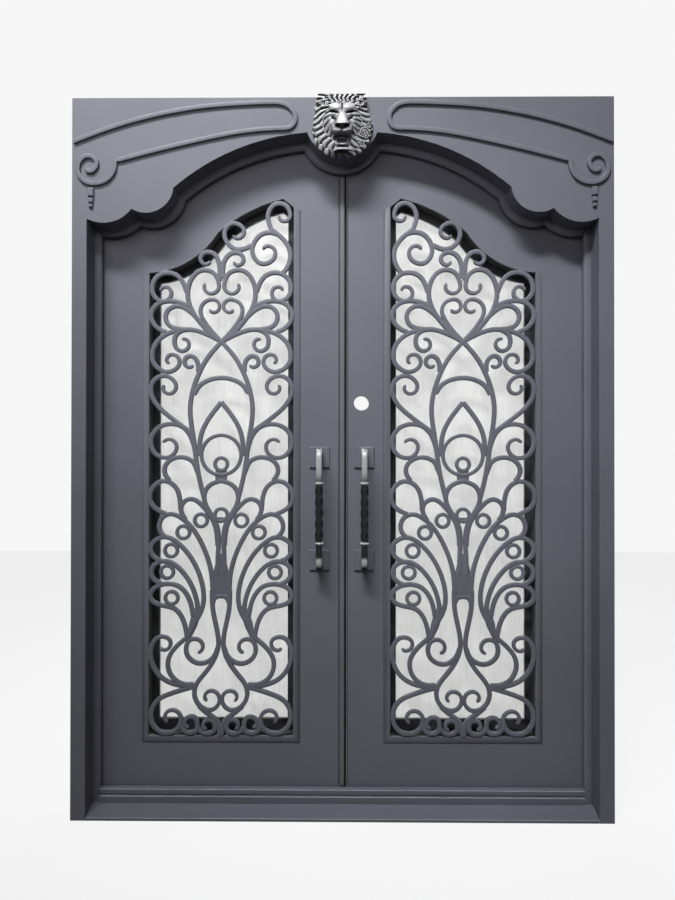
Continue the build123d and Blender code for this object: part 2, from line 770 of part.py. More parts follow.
# Closed zigzag round an oval, its corners reaching full size and the groove's share of it
# in turn. No corner stands above the frame's top.
def zigzag(across, up, place, corners, groove):
    points = []
    for corner in range(corners):
        angle = 2 * pi * (corner + 0.5) / corners
        reach = 1 if corner % 2 == 0 else groove
        x = place[0] + across * reach * cos(angle)
        z = lion_middle + place[1] + up * reach * sin(angle)
        points.append((x, min(z, door_height)))
    return points


# Lion head. The mane's locks are ridges between two zigzags. Each form of the face runs
# from a wide oval to a narrower one: both half sizes, place, and how far each end stands out.
mane_rings = [
    (lion_width / 2, lion_height / 2, 0),
    (0.9 * lion_width / 2, 0.9 * lion_height / 2, 0.6 * lion_mane_depth),
    (0.6 * lion_width / 2, 0.6 * lion_height / 2, lion_mane_depth),
]
cheek_depth = lion_mane_depth + 12
lion_forms = [
    # Face, forehead, nose bridge, muzzle, chin and beard
    ((64, 78), (46, 58), (0, 4), lion_mane_depth - 4, lion_mane_depth + 16),
    ((44, 26), (32, 15), (0, 44), cheek_depth, cheek_depth + 14),
    ((13, 42), (8, 26), (0, 22), cheek_depth, lion_face_depth - 6),
    ((38, 26), (25, 15), (0, -20), cheek_depth, lion_face_depth),
    ((24, 13), (16, 7), (0, -62), cheek_depth - 4, cheek_depth + 14),
    ((18, 22), (8, 12), (0, -80), lion_mane_depth - 6, lion_mane_depth + 14),
    # Cheeks, eyes and ears
    ((15, 24), (8, 14), (-46, -4), cheek_depth - 2, cheek_depth + 9),
    ((15, 24), (8, 14), (46, -4), cheek_depth - 2, cheek_depth + 9),
    ((10, 6), (6, 3), (-27, 27), cheek_depth, cheek_depth + 11),
    ((10, 6), (6, 3), (27, 27), cheek_depth, cheek_depth + 11),
    ((16, 17), (9, 9), (-58, 60), 0.6 * lion_mane_depth, lion_mane_depth + 14),
    ((16, 17), (9, 9), (58, 60), 0.6 * lion_mane_depth, lion_mane_depth + 14),
]
mouth = ((20, 9), (0, -43), 20)
with BuildPart() as lion_head:
    for across, up, depth in mane_rings:
        with BuildSketch(Plane.XZ.offset(depth - front)):
            with BuildLine():
                Polyline(*zigzag(across, up, (0, 0), 2 * mane_locks, mane_groove), close=True)
            make_face()
    loft(ruled=True)
    for foot_size, top_size, place, foot, top in lion_forms:
        for size, depth in ((foot_size, foot), (top_size, top)):
            with BuildSketch(Plane.XZ.offset(depth - front)):
                with BuildLine():
                    Polyline(*zigzag(*size, place, face_facets, 1), close=True)
                make_face()
        loft(ruled=True)
    mouth_size, mouth_place, mouth_depth = mouth
    with BuildSketch(Plane.XZ.offset(mouth_depth - front)):
        with BuildLine():
            Polyline(*zigzag(*mouth_size, mouth_place, face_facets, 1), close=True)
        make_face()
    extrude(amount=lion_face_depth, mode=Mode.SUBTRACT)
save("lion_head", lion_head.part)
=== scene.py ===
"""Looks of a double wrought iron door: frame, scrollwork, rain glass, pulls, lion head."""
import math

import bmesh
import bpy
import numpy as np
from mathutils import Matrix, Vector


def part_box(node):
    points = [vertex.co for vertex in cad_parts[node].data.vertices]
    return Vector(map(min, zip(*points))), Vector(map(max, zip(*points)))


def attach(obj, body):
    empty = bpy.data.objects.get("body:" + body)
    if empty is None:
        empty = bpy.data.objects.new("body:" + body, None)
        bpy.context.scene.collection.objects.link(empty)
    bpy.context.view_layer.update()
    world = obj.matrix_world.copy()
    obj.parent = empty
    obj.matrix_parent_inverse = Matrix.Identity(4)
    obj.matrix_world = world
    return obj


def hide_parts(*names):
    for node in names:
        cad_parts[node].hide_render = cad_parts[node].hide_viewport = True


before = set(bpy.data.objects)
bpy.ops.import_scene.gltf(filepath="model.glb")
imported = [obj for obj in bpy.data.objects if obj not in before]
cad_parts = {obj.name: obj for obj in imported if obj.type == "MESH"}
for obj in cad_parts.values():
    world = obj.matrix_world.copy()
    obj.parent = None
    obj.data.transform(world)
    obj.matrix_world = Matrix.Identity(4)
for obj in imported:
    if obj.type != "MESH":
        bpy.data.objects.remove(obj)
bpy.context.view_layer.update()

bl_info = {
    "name": "Wrought Iron Double Door",
    "version": (1, 0, 0),
    "blender": (4, 5, 0),
    "location": "View3D > Sidebar > Iron Door",
    "description": "Dresses the door's frame, leaves, ironwork, glass, pulls and lion head",
    "category": "Object",
}

MM = 0.001
SIDES = {"left": -1, "right": 1}
# Pieces whose faces are welded and ground flush with their neighbours
FLUSH_PIECES = ("_jamb", "head", "header_panel", "_stile", "_rail")

# Places read from the frame, in metres
LEAF_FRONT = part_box("left_hinge_stile")[0].y
FRAME_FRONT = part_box("head")[0].y
FRAME_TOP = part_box("head")[1].z
JAMB_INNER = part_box("head")[1].x
PANEL_LOW, PANEL_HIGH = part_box("right_bottom_rail")
PANEL_CENTER = (PANEL_LOW.x + PANEL_HIGH.x) / 2
PANEL_HALF = (PANEL_HIGH.x - PANEL_LOW.x) / 2
PANEL_BOTTOM = PANEL_HIGH.z
GRILLE_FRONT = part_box("left_grille")[0].y
GRILLE_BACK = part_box("left_grille")[1].y

# The photo's view: the camera's place, its turns in degrees, its focal length in pixels and
# the photo's height in pixels
CAMERA = (0.0042, FRAME_FRONT - 2.203, 1.2363)
CAMERA_TURN = (90.31, -0.06, 0.49)
FOCAL_PIXELS = 655
PHOTO_HEIGHT = 900
SENSOR = 36


# Mesh helpers

def link(name, mesh):
    piece = bpy.data.objects.new(name, mesh)
    bpy.context.scene.collection.objects.link(piece)
    return piece


def mesh_piece(name, vertices, quads, smooth_angle=50):
    """A mesh object from an array of points and an array of four-cornered faces.

    Faces whose corners repeat are cleaned away, doubles are merged and the normals
    are made to point outwards.
    """
    mesh = bpy.data.meshes.new(name)
    mesh.from_pydata([], [], [])
    mesh.vertices.add(len(vertices))
    mesh.vertices.foreach_set("co", np.asarray(vertices, np.float32).ravel())
    mesh.loops.add(quads.size)
    mesh.loops.foreach_set("vertex_index", quads.astype(np.int32).ravel())
    mesh.polygons.add(len(quads))
    mesh.polygons.foreach_set("loop_start", np.arange(0, quads.size, 4, dtype=np.int32))
    mesh.update(calc_edges=True)
    mesh.validate()
    piece = link(name, mesh)
    clean(piece)
    mesh.shade_smooth()
    mesh.set_sharp_from_angle(angle=math.radians(smooth_angle))
    return piece


def clean(piece, distance=1e-6):
    sheet = bmesh.new()
    sheet.from_mesh(piece.data)
    bmesh.ops.remove_doubles(sheet, verts=sheet.verts, dist=distance)
    bmesh.ops.dissolve_degenerate(sheet, edges=sheet.edges, dist=distance)
    bmesh.ops.recalc_face_normals(sheet, faces=sheet.faces)
    sheet.to_mesh(piece.data)
    sheet.free()


def grid_faces(rows, columns, wrap_rows=False, wrap_columns=False):
    """Four-cornered faces of a grid of points, row by row, closed round where asked."""
    last_row = rows if wrap_rows else rows - 1
    last_column = columns if wrap_columns else columns - 1
    r, c = np.meshgrid(np.arange(last_row), np.arange(last_column), indexing="ij")
    next_r = (r + 1) % rows
    next_c = (c + 1) % columns
    corners = (r * columns + c, next_r * columns + c, next_r * columns + next_c,
               r * columns + next_c)
    return np.stack(corners, axis=-1).reshape(-1, 4)


def join_grids(grids):
    """Stacks several (points, faces) pairs into one pair, shifting each face's numbers."""
    points = []
    faces = []
    count = 0
    for vertices, quads in grids:
        points.append(vertices)
        faces.append(quads + count)
        count += len(vertices)
    return np.concatenate(points), np.concatenate(faces)


def smooth_line(points, spacing, turn=math.radians(9)):
    """A smooth curve through points: a natural cubic over the distance along them.

    The second derivatives solve one banded linear system, and the curve is then read
    at places that are close where it bends and at most the spacing apart.
    """
    points = np.asarray(points, float)
    if len(points) == 2:
        count = max(2, int(np.linalg.norm(points[1] - points[0]) / spacing) + 1)
        return points[0] + (points[1] - points[0]) * np.linspace(0, 1, count)[:, None]
    steps = np.linalg.norm(np.diff(points, axis=0), axis=1)
    knots = np.concatenate([[0], np.cumsum(steps)])
    size = len(points)
    system = np.eye(size)
    right = np.zeros((size, points.shape[1]))
    for i in range(1, size - 1):
        system[i, i - 1] = steps[i - 1]
        system[i, i] = 2 * (steps[i - 1] + steps[i])
        system[i, i + 1] = steps[i]
        right[i] = 6 * ((points[i + 1] - points[i]) / steps[i]
                        - (points[i] - points[i - 1]) / steps[i - 1])
    bend = np.linalg.solve(system, right)
    fine = np.linspace(0, knots[-1], 40 * size)
    cell = np.clip(np.searchsorted(knots, fine, side="right") - 1, 0, size - 2)
    h = steps[cell][:, None]
    a = (knots[cell + 1] - fine)[:, None] / h
    b = 1 - a
    curve = (a * points[cell] + b * points[cell + 1]
             + ((a ** 3 - a) * bend[cell] + (b ** 3 - b) * bend[cell + 1]) * h ** 2 / 6)
    moves = np.diff(curve, axis=0)
    lengths = np.linalg.norm(moves, axis=1)
    heading = np.unwrap(np.arctan2(moves[:, 1], moves[:, 0]))
    turned = np.concatenate([[0], np.abs(np.diff(heading)), [0]])
    travel = np.concatenate([[0], np.cumsum(lengths / spacing + turned[1:] / turn)])
    stops = np.linspace(0, travel[-1], max(3, int(travel[-1]) + 2))
    return np.stack([np.interp(stops, travel, curve[:, k]) for k in range(curve.shape[1])], axis=1)


def carried_bar(line, half_widths, section, front, back):
    """A bar that follows a flat line: its section, given as (across, forwards) from -1 to
    1, is scaled by the half width at each station and set square to the line. Both ends
    close on the line itself."""
    line = np.asarray(line, float)
    direction = np.gradient(line, axis=0)
    direction /= np.maximum(np.linalg.norm(direction, axis=1), 1e-9)[:, None]
    across = np.stack([-direction[:, 1], direction[:, 0]], axis=1)
    offset = across[:, None, :] * section[None, :, 0:1] * half_widths[:, None, None]
    flat = line[:, None, :] + offset
    depth = (front + back) / 2 + section[:, 1] * (back - front) / 2
    depth = np.broadcast_to(depth, flat.shape[:2])
    body = np.stack([flat[..., 0], depth, flat[..., 1]], axis=-1)
    middle = (front + back) / 2
    first = np.broadcast_to([line[0, 0], middle, line[0, 1]], body[:1].shape)
    last = np.broadcast_to([line[-1, 0], middle, line[-1, 1]], body[:1].shape)
    points = np.concatenate([first, body, last])
    return points.reshape(-1, 3), grid_faces(points.shape[0], points.shape[1], wrap_columns=True)


def round_section(count, power, flat_back=False):
    """A rounded square: a circle whose sine and cosine are raised to a power under one."""
    angle = np.linspace(0, 2 * np.pi, count, endpoint=False)
    across = np.sign(np.cos(angle)) * np.abs(np.cos(angle)) ** power
    forwards = np.sign(np.sin(angle)) * np.abs(np.sin(angle)) ** power
    if flat_back:
        forwards = np.where(forwards > 0, np.minimum(forwards * 4, 1), forwards)
    return np.stack([across, forwards], axis=1)


def upright_strip(profile, low, high):
    """An upright strip: a closed outline in plan, carried from low to high and capped."""
    outline = np.array(profile, float) * MM
    middle = outline.mean(axis=0)
    rings = []
    for height, plan in ((low, middle), (low, outline), (high, outline), (high, middle)):
        flat = np.broadcast_to(plan, outline.shape)
        rings.append(np.stack([flat[:, 0], flat[:, 1], np.full(len(outline), height)], axis=1))
    points = np.array(rings)
    return points.reshape(-1, 3), grid_faces(*points.shape[:2], wrap_columns=True)


# Node groups and materials

def feed(tree, node, inputs):
    """Gives each named input of a node its value, or a link from another node's output."""
    for name, value in inputs.items():
        if isinstance(value, bpy.types.NodeSocket):
            tree.links.new(value, node.inputs[name])
        else:
            node.inputs[name].default_value = value


def add_node(tree, kind, inputs=None, **settings):
    """A new node with its settings and its inputs."""
    node = tree.nodes.new(kind)
    for name, value in settings.items():
        setattr(node, name, value)
    feed(tree, node, inputs or {})
    return node


def new_group(name, inputs, outputs):
    """An empty node group. Its inputs are numbers with defaults, its outputs have kinds."""
    group = bpy.data.node_groups.new(name, "ShaderNodeTree")
    for title, value in inputs.items():
        made = group.interface.new_socket(
            name=title, in_out="INPUT", socket_type="NodeSocketFloat")
        made.default_value = value
    for title, kind in outputs.items():
        group.interface.new_socket(name=title, in_out="OUTPUT", socket_type="NodeSocket" + kind)
    return group, group.nodes.new("NodeGroupInput"), group.nodes.new("NodeGroupOutput")


def painted_surface_group():
    """Satin paint on steel: cloudy tone, fine orange peel and a painted highlight along edges.

    Tone clouds the colour, the second output is near 1 on edges as a painted highlight, and Height
    is the paint's skin."""
    group, given, out = new_group(
        "satin_paint", {"Cloud Scale": 3.0, "Peel Scale": 900.0, "Edge Radius": 0.0015},
        {"Tone": "Float", "Edge Highlight": "Float", "Height": "Float", "Soft Normal": "Vector"})
    place = add_node(group, "ShaderNodeTexCoord").outputs["Object"]
    cloud = add_node(group, "ShaderNodeTexNoise", {
        "Vector": place, "Scale": given.outputs["Cloud Scale"], "Detail": 5})
    spread = add_node(group, "ShaderNodeMapRange", {
        "Value": cloud.outputs["Fac"], "From Min": 0.3, "From Max": 0.7})
    peel = add_node(group, "ShaderNodeTexNoise", {
        "Vector": place, "Scale": given.outputs["Peel Scale"], "Detail": 2})
    soft = add_node(group, "ShaderNodeBevel", {"Radius": given.outputs["Edge Radius"]}, samples=6)
    shape = add_node(group, "ShaderNodeNewGeometry")
    match = add_node(group, "ShaderNodeVectorMath", {
        0: soft.outputs["Normal"], 1: shape.outputs["Normal"]}, operation="DOT_PRODUCT")
    edge = add_node(group, "ShaderNodeMapRange", {
        "Value": match.outputs["Value"], "From Min": 0.99, "From Max": 0.85})
    feed(group, out, {"Tone": spread.outputs["Result"], "Edge Highlight": edge.outputs["Result"],
                      "Height": peel.outputs["Fac"], "Soft Normal": soft.outputs["Normal"]})
    return group


def rain_group():
    """Rain glass: long upright runnels, drawn from noise that is stretched tall."""
    group, given, out = new_group(
        "rain_texture", {"Runnel Scale": 120.0}, {"Height": "Float", "Tone": "Float"})
    place = add_node(group, "ShaderNodeTexCoord")
    tall = add_node(group, "ShaderNodeMapping", {
        "Vector": place.outputs["Object"], "Scale": (1, 1, 0.09)})
    runnel = add_node(group, "ShaderNodeTexNoise", {
        "Vector": tall.outputs["Vector"], "Scale": given.outputs["Runnel Scale"],
        "Detail": 3, "Distortion": 0.4})
    spread = add_node(group, "ShaderNodeMapRange", {
        "Value": runnel.outputs["Fac"], "From Min": 0.35, "From Max": 0.6})
    feed(group, out, {"Height": runnel.outputs["Fac"], "Tone": spread.outputs["Result"]})
    return group


def new_material(name):
    material = bpy.data.materials.new(name)
    material.use_nodes = True
    return material, material.node_tree


def times(colour, share):
    return tuple(part * share for part in colour)


def mixed_colour(tree, mask, low, high):
    """A colour between low and high by the mask. Low may be another node's output."""
    start = low if isinstance(low, bpy.types.NodeSocket) else (*low, 1)
    mix = add_node(tree, "ShaderNodeMix", {"Factor": mask, "A": start, "B": (*high, 1)},
                   data_type="RGBA")
    return mix.outputs["Result"]


def bumped(tree, height, strength, distance, more=None):
    inputs = {"Height": height, "Strength": strength, "Distance": distance, **(more or {})}
    return add_node(tree, "ShaderNodeBump", inputs).outputs["Normal"]


def paint_material(name, group, colour, lift, highlight_colour, highlight_share, rough, edge_radius):
    """Satin paint of a given colour, lighter by lift in its clouds, and painted lighter along its
    edges as a highlight.
    """
    material, tree = new_material(name)
    skin = add_node(tree, "ShaderNodeGroup", node_tree=group)
    skin.inputs["Edge Radius"].default_value = edge_radius
    tone = skin.outputs["Tone"]
    # Share of the painted highlight: a lighter colour along edges, set by the edge mask.
    share = add_node(tree, "ShaderNodeMath", {0: skin.outputs["Edge Highlight"], 1: highlight_share},
                     operation="MULTIPLY")
    clouded = mixed_colour(tree, tone, colour, times(colour, lift))
    grade = add_node(tree, "ShaderNodeMapRange", {
        "Value": tone, "To Min": rough - 0.05, "To Max": rough + 0.07})
    feed(tree, tree.nodes["Principled BSDF"], {
        "Base Color": mixed_colour(tree, share.outputs["Value"], clouded, highlight_colour),
        "Roughness": grade.outputs["Result"],
        "Specular IOR Level": 0.15,
        "Normal": bumped(tree, skin.outputs["Height"], 0.12, 0.0004,
                         {"Normal": skin.outputs["Soft Normal"]})})
    return material


def glass_material(group, colour):
    """Obscure glass: pale, light-scattering, with upright runnels in its skin."""
    material, tree = new_material("rain_glass")
    rain = add_node(tree, "ShaderNodeGroup", node_tree=group)
    feed(tree, tree.nodes["Principled BSDF"], {
        "Base Color": mixed_colour(tree, rain.outputs["Tone"], times(colour, 0.88), colour),
        "Roughness": 0.3,
        "Transmission Weight": 0.85,
        "IOR": 1.45,
        "Normal": bumped(tree, rain.outputs["Height"], 0.2, 0.0008)})
    return material


def metal_material(name, dark, bright, height_low, height_high):
    """Cast or forged metal: bright where the piece's own stored number is high, dark where it is
    low, with a fine pitted skin. On the lion the number is patina in its hollows with painted
    highlight and shade added; on the pulls it is a painted highlight."""
    material, tree = new_material(name)
    patina_and_light = add_node(tree, "ShaderNodeAttribute", attribute_name="patina_and_light")
    place = add_node(tree, "ShaderNodeTexCoord")
    pits = add_node(tree, "ShaderNodeTexNoise", {
        "Vector": place.outputs["Object"], "Scale": 220, "Detail": 4})
    stir = add_node(tree, "ShaderNodeMath", {
        0: pits.outputs["Fac"], 1: 0.35, 2: patina_and_light.outputs["Fac"]}, operation="MULTIPLY_ADD")
    pits_mean = 0.17
    bright_share = add_node(tree, "ShaderNodeMapRange", {
        "Value": stir.outputs["Value"], "From Min": height_low + pits_mean,
        "From Max": height_high + pits_mean}, interpolation_type="SMOOTHSTEP")
    feed(tree, tree.nodes["Principled BSDF"], {
        "Base Color": mixed_colour(tree, bright_share.outputs["Result"], dark, bright),
        "Metallic": 0.15,
        "Specular IOR Level": 0.2,
        "Roughness": 0.42,
        "Normal": bumped(tree, pits.outputs["Fac"], 0.25, 0.0006)})
    return material


def vertex_places(piece):
    places = np.empty(len(piece.data.vertices) * 3)
    piece.data.vertices.foreach_get("co", places)
    return places.reshape(-1, 3)


def set_patina_and_light(piece, values):
    """Stores one number a vertex for the metal finishes: patina in hollows, painted highlight and
    painted shade.
    """
    layer = piece.data.attributes.new("patina_and_light", "FLOAT", "POINT")
    layer.data.foreach_set("value", np.asarray(values, np.float32))


def dress(piece, material, body=None, replaces=()):
    """Gives a piece its finish and, if it is new, its body and the nodes it stands for, which it
    hides.
    A material is given itself or by its name."""
    if isinstance(material, str):
        material = bpy.data.materials[material]
    piece.data.materials.clear()
    piece.data.materials.append(material)
    if body:
        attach(piece, body)
    if replaces:
        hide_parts(*replaces)
    return piece


def strip_piece(name, outline, low, high, material, body, replaces=()):
    """An upright strip as a piece of its own, with its finish and body, hiding the nodes it
    replaces.
    """
    piece = mesh_piece(name, *upright_strip(outline, low, high))
    dress(piece, material, body, replaces)


# Sizes and colours that a user would change

class DoorFinish(bpy.types.PropertyGroup):
    paint: bpy.props.FloatVectorProperty(
        name="Paint", description="Colour of the satin paint on frame and leaves",
        subtype="COLOR", size=3, min=0, max=1, default=(0.088, 0.088, 0.108))
    # Colour of the painted highlight along the paints' edges.
    edge_highlight: bpy.props.FloatVectorProperty(
        name="Edge highlight", description="Colour of the painted highlight along edges",
        subtype="COLOR", size=3, min=0, max=1, default=(0.20, 0.20, 0.235))
    glass: bpy.props.FloatVectorProperty(
        name="Glass", description="Colour of the obscure glass",
        subtype="COLOR", size=3, min=0, max=1, default=(0.91, 0.91, 0.905))
    # Also the colour of the painted highlights on the lion and the pulls.
    silver: bpy.props.FloatVectorProperty(
        name="Antique silver", description="High ground of the lion head",
        subtype="COLOR", size=3, min=0, max=1, default=(0.27, 0.27, 0.28))
    # Also the colour of the near-black strips that stand for painted shade.
    seal: bpy.props.FloatVectorProperty(
        name="Seal", description="Colour of the rubber seals",
        subtype="COLOR", size=3, min=0, max=1, default=(0.012, 0.012, 0.014))
    # Also the colour of the lion's painted shade.
    hollow: bpy.props.FloatVectorProperty(
        name="Dark hollows", description="Patina in the hollows of cast and forged pieces",
        subtype="COLOR", size=3, min=0, max=1, default=(0.012, 0.012, 0.015))


class Ironwork(bpy.types.PropertyGroup):
    bar_width: bpy.props.FloatProperty(
        name="Bar width", description="Width of a scroll bar", unit="LENGTH", default=16.5 * MM)
    tip_width: bpy.props.FloatProperty(
        name="Tip width", description="Width at the end of a curl", unit="LENGTH",
        default=12.0 * MM)
    ring_bar: bpy.props.FloatProperty(
        name="Ring bar", description="Width of the bar of a ring", unit="LENGTH", default=13.0 * MM)
    header_bar: bpy.props.FloatProperty(
        name="Header bar", description="Width of the raised bar on the header",
        unit="LENGTH", default=16.0 * MM)


def finish_of():
    return bpy.context.scene.door_finish


def iron_of():
    return bpy.context.scene.door_ironwork


# The scroll bars of a leaf, in millimetres across from the panel's middle and up from its
# bottom. A bar is a stem of points and, where it curls, a spiral: its eye, the last radius
# and the turn in degrees.

PAIRED_BARS = [
    ([(-61, 838), (-84, 940), (-97, 1038), (-110, 1151), (-78, 1277), (-47, 1332), (0, 1386),
      (35, 1424), (62, 1462), (74, 1495), (65, 1521), (40, 1535)], (30, 1509, 16, 255)),
    ([(18, 1396), (87, 1469), (119, 1544), (116, 1584), (101, 1617), (76, 1637), (51, 1639),
      (27, 1628), (11, 1596)], (38, 1583, 23, 230)),
    ([(123, 1561), (136, 1595), (157, 1620), (188, 1630), (220, 1622), (241, 1597),
      (245, 1567), (233, 1542)], (203, 1561, 14, -310)),
    ([(116, 1512), (153, 1526), (191, 1530), (223, 1521), (244, 1499), (249, 1474),
      (237, 1447), (214, 1428), (190, 1420)], None),
    ([(42, 1410), (119, 1498), (150, 1512), (176, 1508), (194, 1490), (196, 1463),
      (183, 1443), (152, 1432), (105, 1429)], None),
    ([(0, 1386), (67, 1419), (143, 1424), (161, 1409), (166, 1386), (158, 1363)],
     (136, 1379, 17, -247)),
    ([(116, 1430), (165, 1424), (202, 1409), (230, 1383), (244, 1348), (240, 1313),
      (216, 1288), (191, 1280), (163, 1289)], (177, 1319, 12, -302)),
    ([(82, 1280), (82, 1303), (91, 1326), (109, 1336)], (111, 1314, 16, -235)),
    ([(96, 1059), (185, 1124), (240, 1183), (249, 1214), (242, 1244), (222, 1262),
      (198, 1266), (174, 1255), (160, 1231)], (187, 1226, 17, 222)),
    ([(90, 993), (100, 1031), (116, 1065), (138, 1086), (172, 1096), (205, 1092),
      (232, 1074), (247, 1047), (246, 1015), (230, 989), (205, 978), (177, 983),
      (160, 1003)], (186, 1016, 25, -171)),
    ([(80, 918), (88, 938), (99, 961), (122, 976), (151, 979), (178, 970), (197, 949), (200, 928),
      (179, 893)], None),
    ([(143, 793), (147, 838), (160, 872), (183, 891), (208, 895), (233, 882), (250, 855),
      (249, 823), (233, 800), (205, 784), (188, 777)], None),
    ([(0, 1173), (71, 1058), (77, 982)], None),
    ([(0, 896), (31, 886), (52, 867), (60, 838), (51, 804), (21, 754), (11, 631),
      (12, 565)], None),
    ([(12, 668), (21, 737), (65, 807), (107, 832), (128, 824), (141, 803), (138, 780),
      (121, 754)], None),
    ([(29, 505), (33, 565), (64, 666), (111, 740), (145, 768), (177, 779), (205, 768),
      (218, 742), (213, 715), (193, 695)], None),
    ([(112, 350), (98, 386), (76, 424), (64, 456), (61, 490), (85, 587), (142, 668),
      (202, 698), (228, 689), (246, 669),
      (246, 645), (232, 625), (203, 612)], None),
    ([(110, 356), (97, 392), (84, 430), (87, 480), (132, 571), (192, 612), (218, 610),
      (239, 596), (246, 577),
      (240, 554), (219, 537), (202, 530)], None),
    ([(98, 421), (108, 468), (148, 524), (217, 528), (240, 514), (249, 493), (242, 474),
      (220, 461), (188, 454), (161, 444), (140, 420), (126, 384), (118, 340)], None),
    ([(31, 512), (29, 449), (12, 361), (9, 319), (20, 276), (66, 208), (86, 180),
      (93, 147), (82, 115), (60, 96), (36, 91), (15, 102)], (38, 132, 14, -279)),
    ([(12, 309), (24, 280), (47, 260), (73, 254), (100, 263), (119, 285), (122, 312),
      (112, 333)], (88, 309, 19, 205)),
    ([(111, 351), (168, 300), (184, 271), (186, 242), (175, 212), (151, 189), (121, 180),
      (91, 181)], None),
    ([(105, 172), (154, 179), (197, 196), (227, 224), (243, 257), (248, 295), (240, 325),
      (221, 345), (199, 347), (179, 333)], (202, 321, 18, 163)),
    ([(95, 172), (186, 144), (220, 126), (239, 102), (246, 70), (239, 40), (216, 16),
      (188, 10), (159, 20), (143, 43), (142, 70)], (175, 61, 18, -213)),
    ([(142, 49), (133, 23), (109, 11), (86, 21), (82, 43), (93, 65)], (109, 42, 12, -200)),
    ([(82, 32), (68, 16), (46, 9), (25, 18), (20, 36), (28, 53)], (45, 34, 11, -200)),
    ([(77, 105), (53, 84), (9, 46), (5, 0)], None),
]

SINGLE_BARS = [
    ([(-29, 462), (-26, 476), (-17, 487), (0, 491), (17, 487), (26, 476), (29, 462)], None),
    ([(-96, 1200), (-77, 1231), (-42, 1252), (42, 1252), (77, 1231), (96, 1200)], None),
    ([(-7, 1603), (-12, 1673), (-26, 1696), (-47, 1703), (-68, 1695)], (-54, 1679, 18, 200)),
    ([(6, 1610), (5, 1649), (15, 1681), (34, 1698), (58, 1700)], (55, 1674, 14, -240)),
    ([(105, 1726), (67, 1712), (38, 1719), (18, 1739), (10, 1766), (18, 1791), (37, 1804),
      (60, 1800), (78, 1782)], (54, 1772, 18, -165)),
    ([(200, 1765), (172, 1772), (142, 1766), (118, 1742), (108, 1712), (116, 1682),
      (138, 1663), (162, 1664), (184, 1680)], (161, 1701, 20, 190)),
    ([(179, 1775), (164, 1834), (176, 1861), (199, 1874), (225, 1868), (240, 1845),
      (239, 1821)], (217, 1833, 15, -145)),
    ([(175, 1782), (225, 1739), (241, 1704), (239, 1667), (224, 1638), (207, 1621)], None),
]

SINGLE_RINGS = [(0, 955, 22), (0, 776, 22), (0, 987, 70)]
PAIRED_RINGS = [(71, 757, 22), (133, 715, 22), (176, 651, 22), (190, 575, 22), (174, 484, 22)]

# Solid webs where bars run together, as a middle line with its half widths
WEBS = [
    ([(0, 894), (0, 914), (0, 934)], (20, 22, 20)),
    ([(0, 756), (0, 762), (0, 768)], (12, 18, 24)),
    ([(0, 640), (0, 560), (0, 510), (0, 490)], (12, 24, 36, 28)),
]
PAIRED_WEBS = [([(78, 466), (84, 440), (95, 400), (110, 350)], (3, 15, 15, 8))]

WEB_SET_BACK = 1 * MM

# Raised bar on the header, in millimetres out from the middle and up from the sill
SWOOSH = [(908, 2288), (828, 2319), (704, 2359), (579, 2388), (454, 2407), (329, 2416),
          (236, 2419), (193, 2413), (164, 2388), (158, 2363), (171, 2338), (205, 2331),
          (361, 2317), (486, 2292), (704, 2239), (766, 2222)]
VOLUTE = [(766, 2222), (772, 2188), (795, 2159), (829, 2147), (859, 2150), (884, 2169),
          (893, 2196), (886, 2222), (866, 2239), (844, 2237), (829, 2220), (833, 2200),
          (845, 2189), (858, 2189), (867, 2197)]


def bar_route(stem, spiral):
    """The stem's points, then points on a spiral whose radius falls evenly as it turns."""
    points = np.array(stem, float)
    if spiral is None:
        return points
    eye_u, eye_v, last_radius, turn = spiral
    reach = points[-1] - (eye_u, eye_v)
    first_radius = np.hypot(*reach)
    steps = max(2, round(abs(turn) / 45))
    share = np.arange(1, steps + 1) / steps
    radius = first_radius + (last_radius - first_radius) * share
    angle = math.atan2(reach[1], reach[0]) + math.radians(turn) * share
    curl = np.stack([eye_u + radius * np.cos(angle), eye_v + radius * np.sin(angle)], axis=1)
    return np.concatenate([points, curl])


def bar_half_widths(line, width, tip, curls):
    """Half width along a bar: even, narrowing over its last two fifths to a curl's tip, and
    rounded off over its last few millimetres."""
    steps = np.concatenate([[0], np.cumsum(np.linalg.norm(np.diff(line, axis=0), axis=1))])
    share = steps / steps[-1]
    narrowing = np.clip((share - 0.6) / 0.4, 0, 1) if curls else 0 * share
    half = (width + (tip - width) * narrowing) / 2
    rest = steps[-1] - steps
    return half * np.sqrt(np.clip(rest / (tip / 2) + 0.05, 0, 1))


def on_leaf(side, hand, line):
    """A line in the panel's own two measures, set on its leaf or mirrored there by hand."""
    return np.stack([side * (PANEL_CENTER - hand * line[:, 0]), PANEL_BOTTOM + line[:, 1]],
                    axis=1)


def scroll_grid(side, hand, stem, spiral, section, sizes):
    """One scroll bar of a leaf as a grid: the section carried along its route."""
    line = smooth_line(bar_route(stem, spiral) * MM, 9 * MM)
    half = bar_half_widths(line, sizes.bar_width, sizes.tip_width, spiral is not None)
    return carried_bar(on_leaf(side, hand, line), half, section, GRILLE_FRONT, GRILLE_BACK)


def ring_grid(side, hand, u, v, radius, section, sizes):
    """A ring: the section carried once round a circle and closed on itself."""
    angle = np.linspace(0, 2 * np.pi, 40, endpoint=False)
    around = np.stack([np.cos(angle), np.sin(angle)], axis=1)
    center = np.array([side * (PANEL_CENTER - hand * u * MM), PANEL_BOTTOM + v * MM])
    reach = radius * MM + section[:, 0] * sizes.ring_bar / 2
    flat = center + around[:, None, :] * reach[None, :, None]
    depth = (GRILLE_FRONT + GRILLE_BACK) / 2 + section[:, 1] * (GRILLE_BACK - GRILLE_FRONT) / 2
    depth = np.broadcast_to(depth, flat.shape[:2])
    points = np.stack([flat[..., 0], depth, flat[..., 1]], axis=-1)
    return points.reshape(-1, 3), grid_faces(*points.shape[:2], wrap_rows=True, wrap_columns=True)


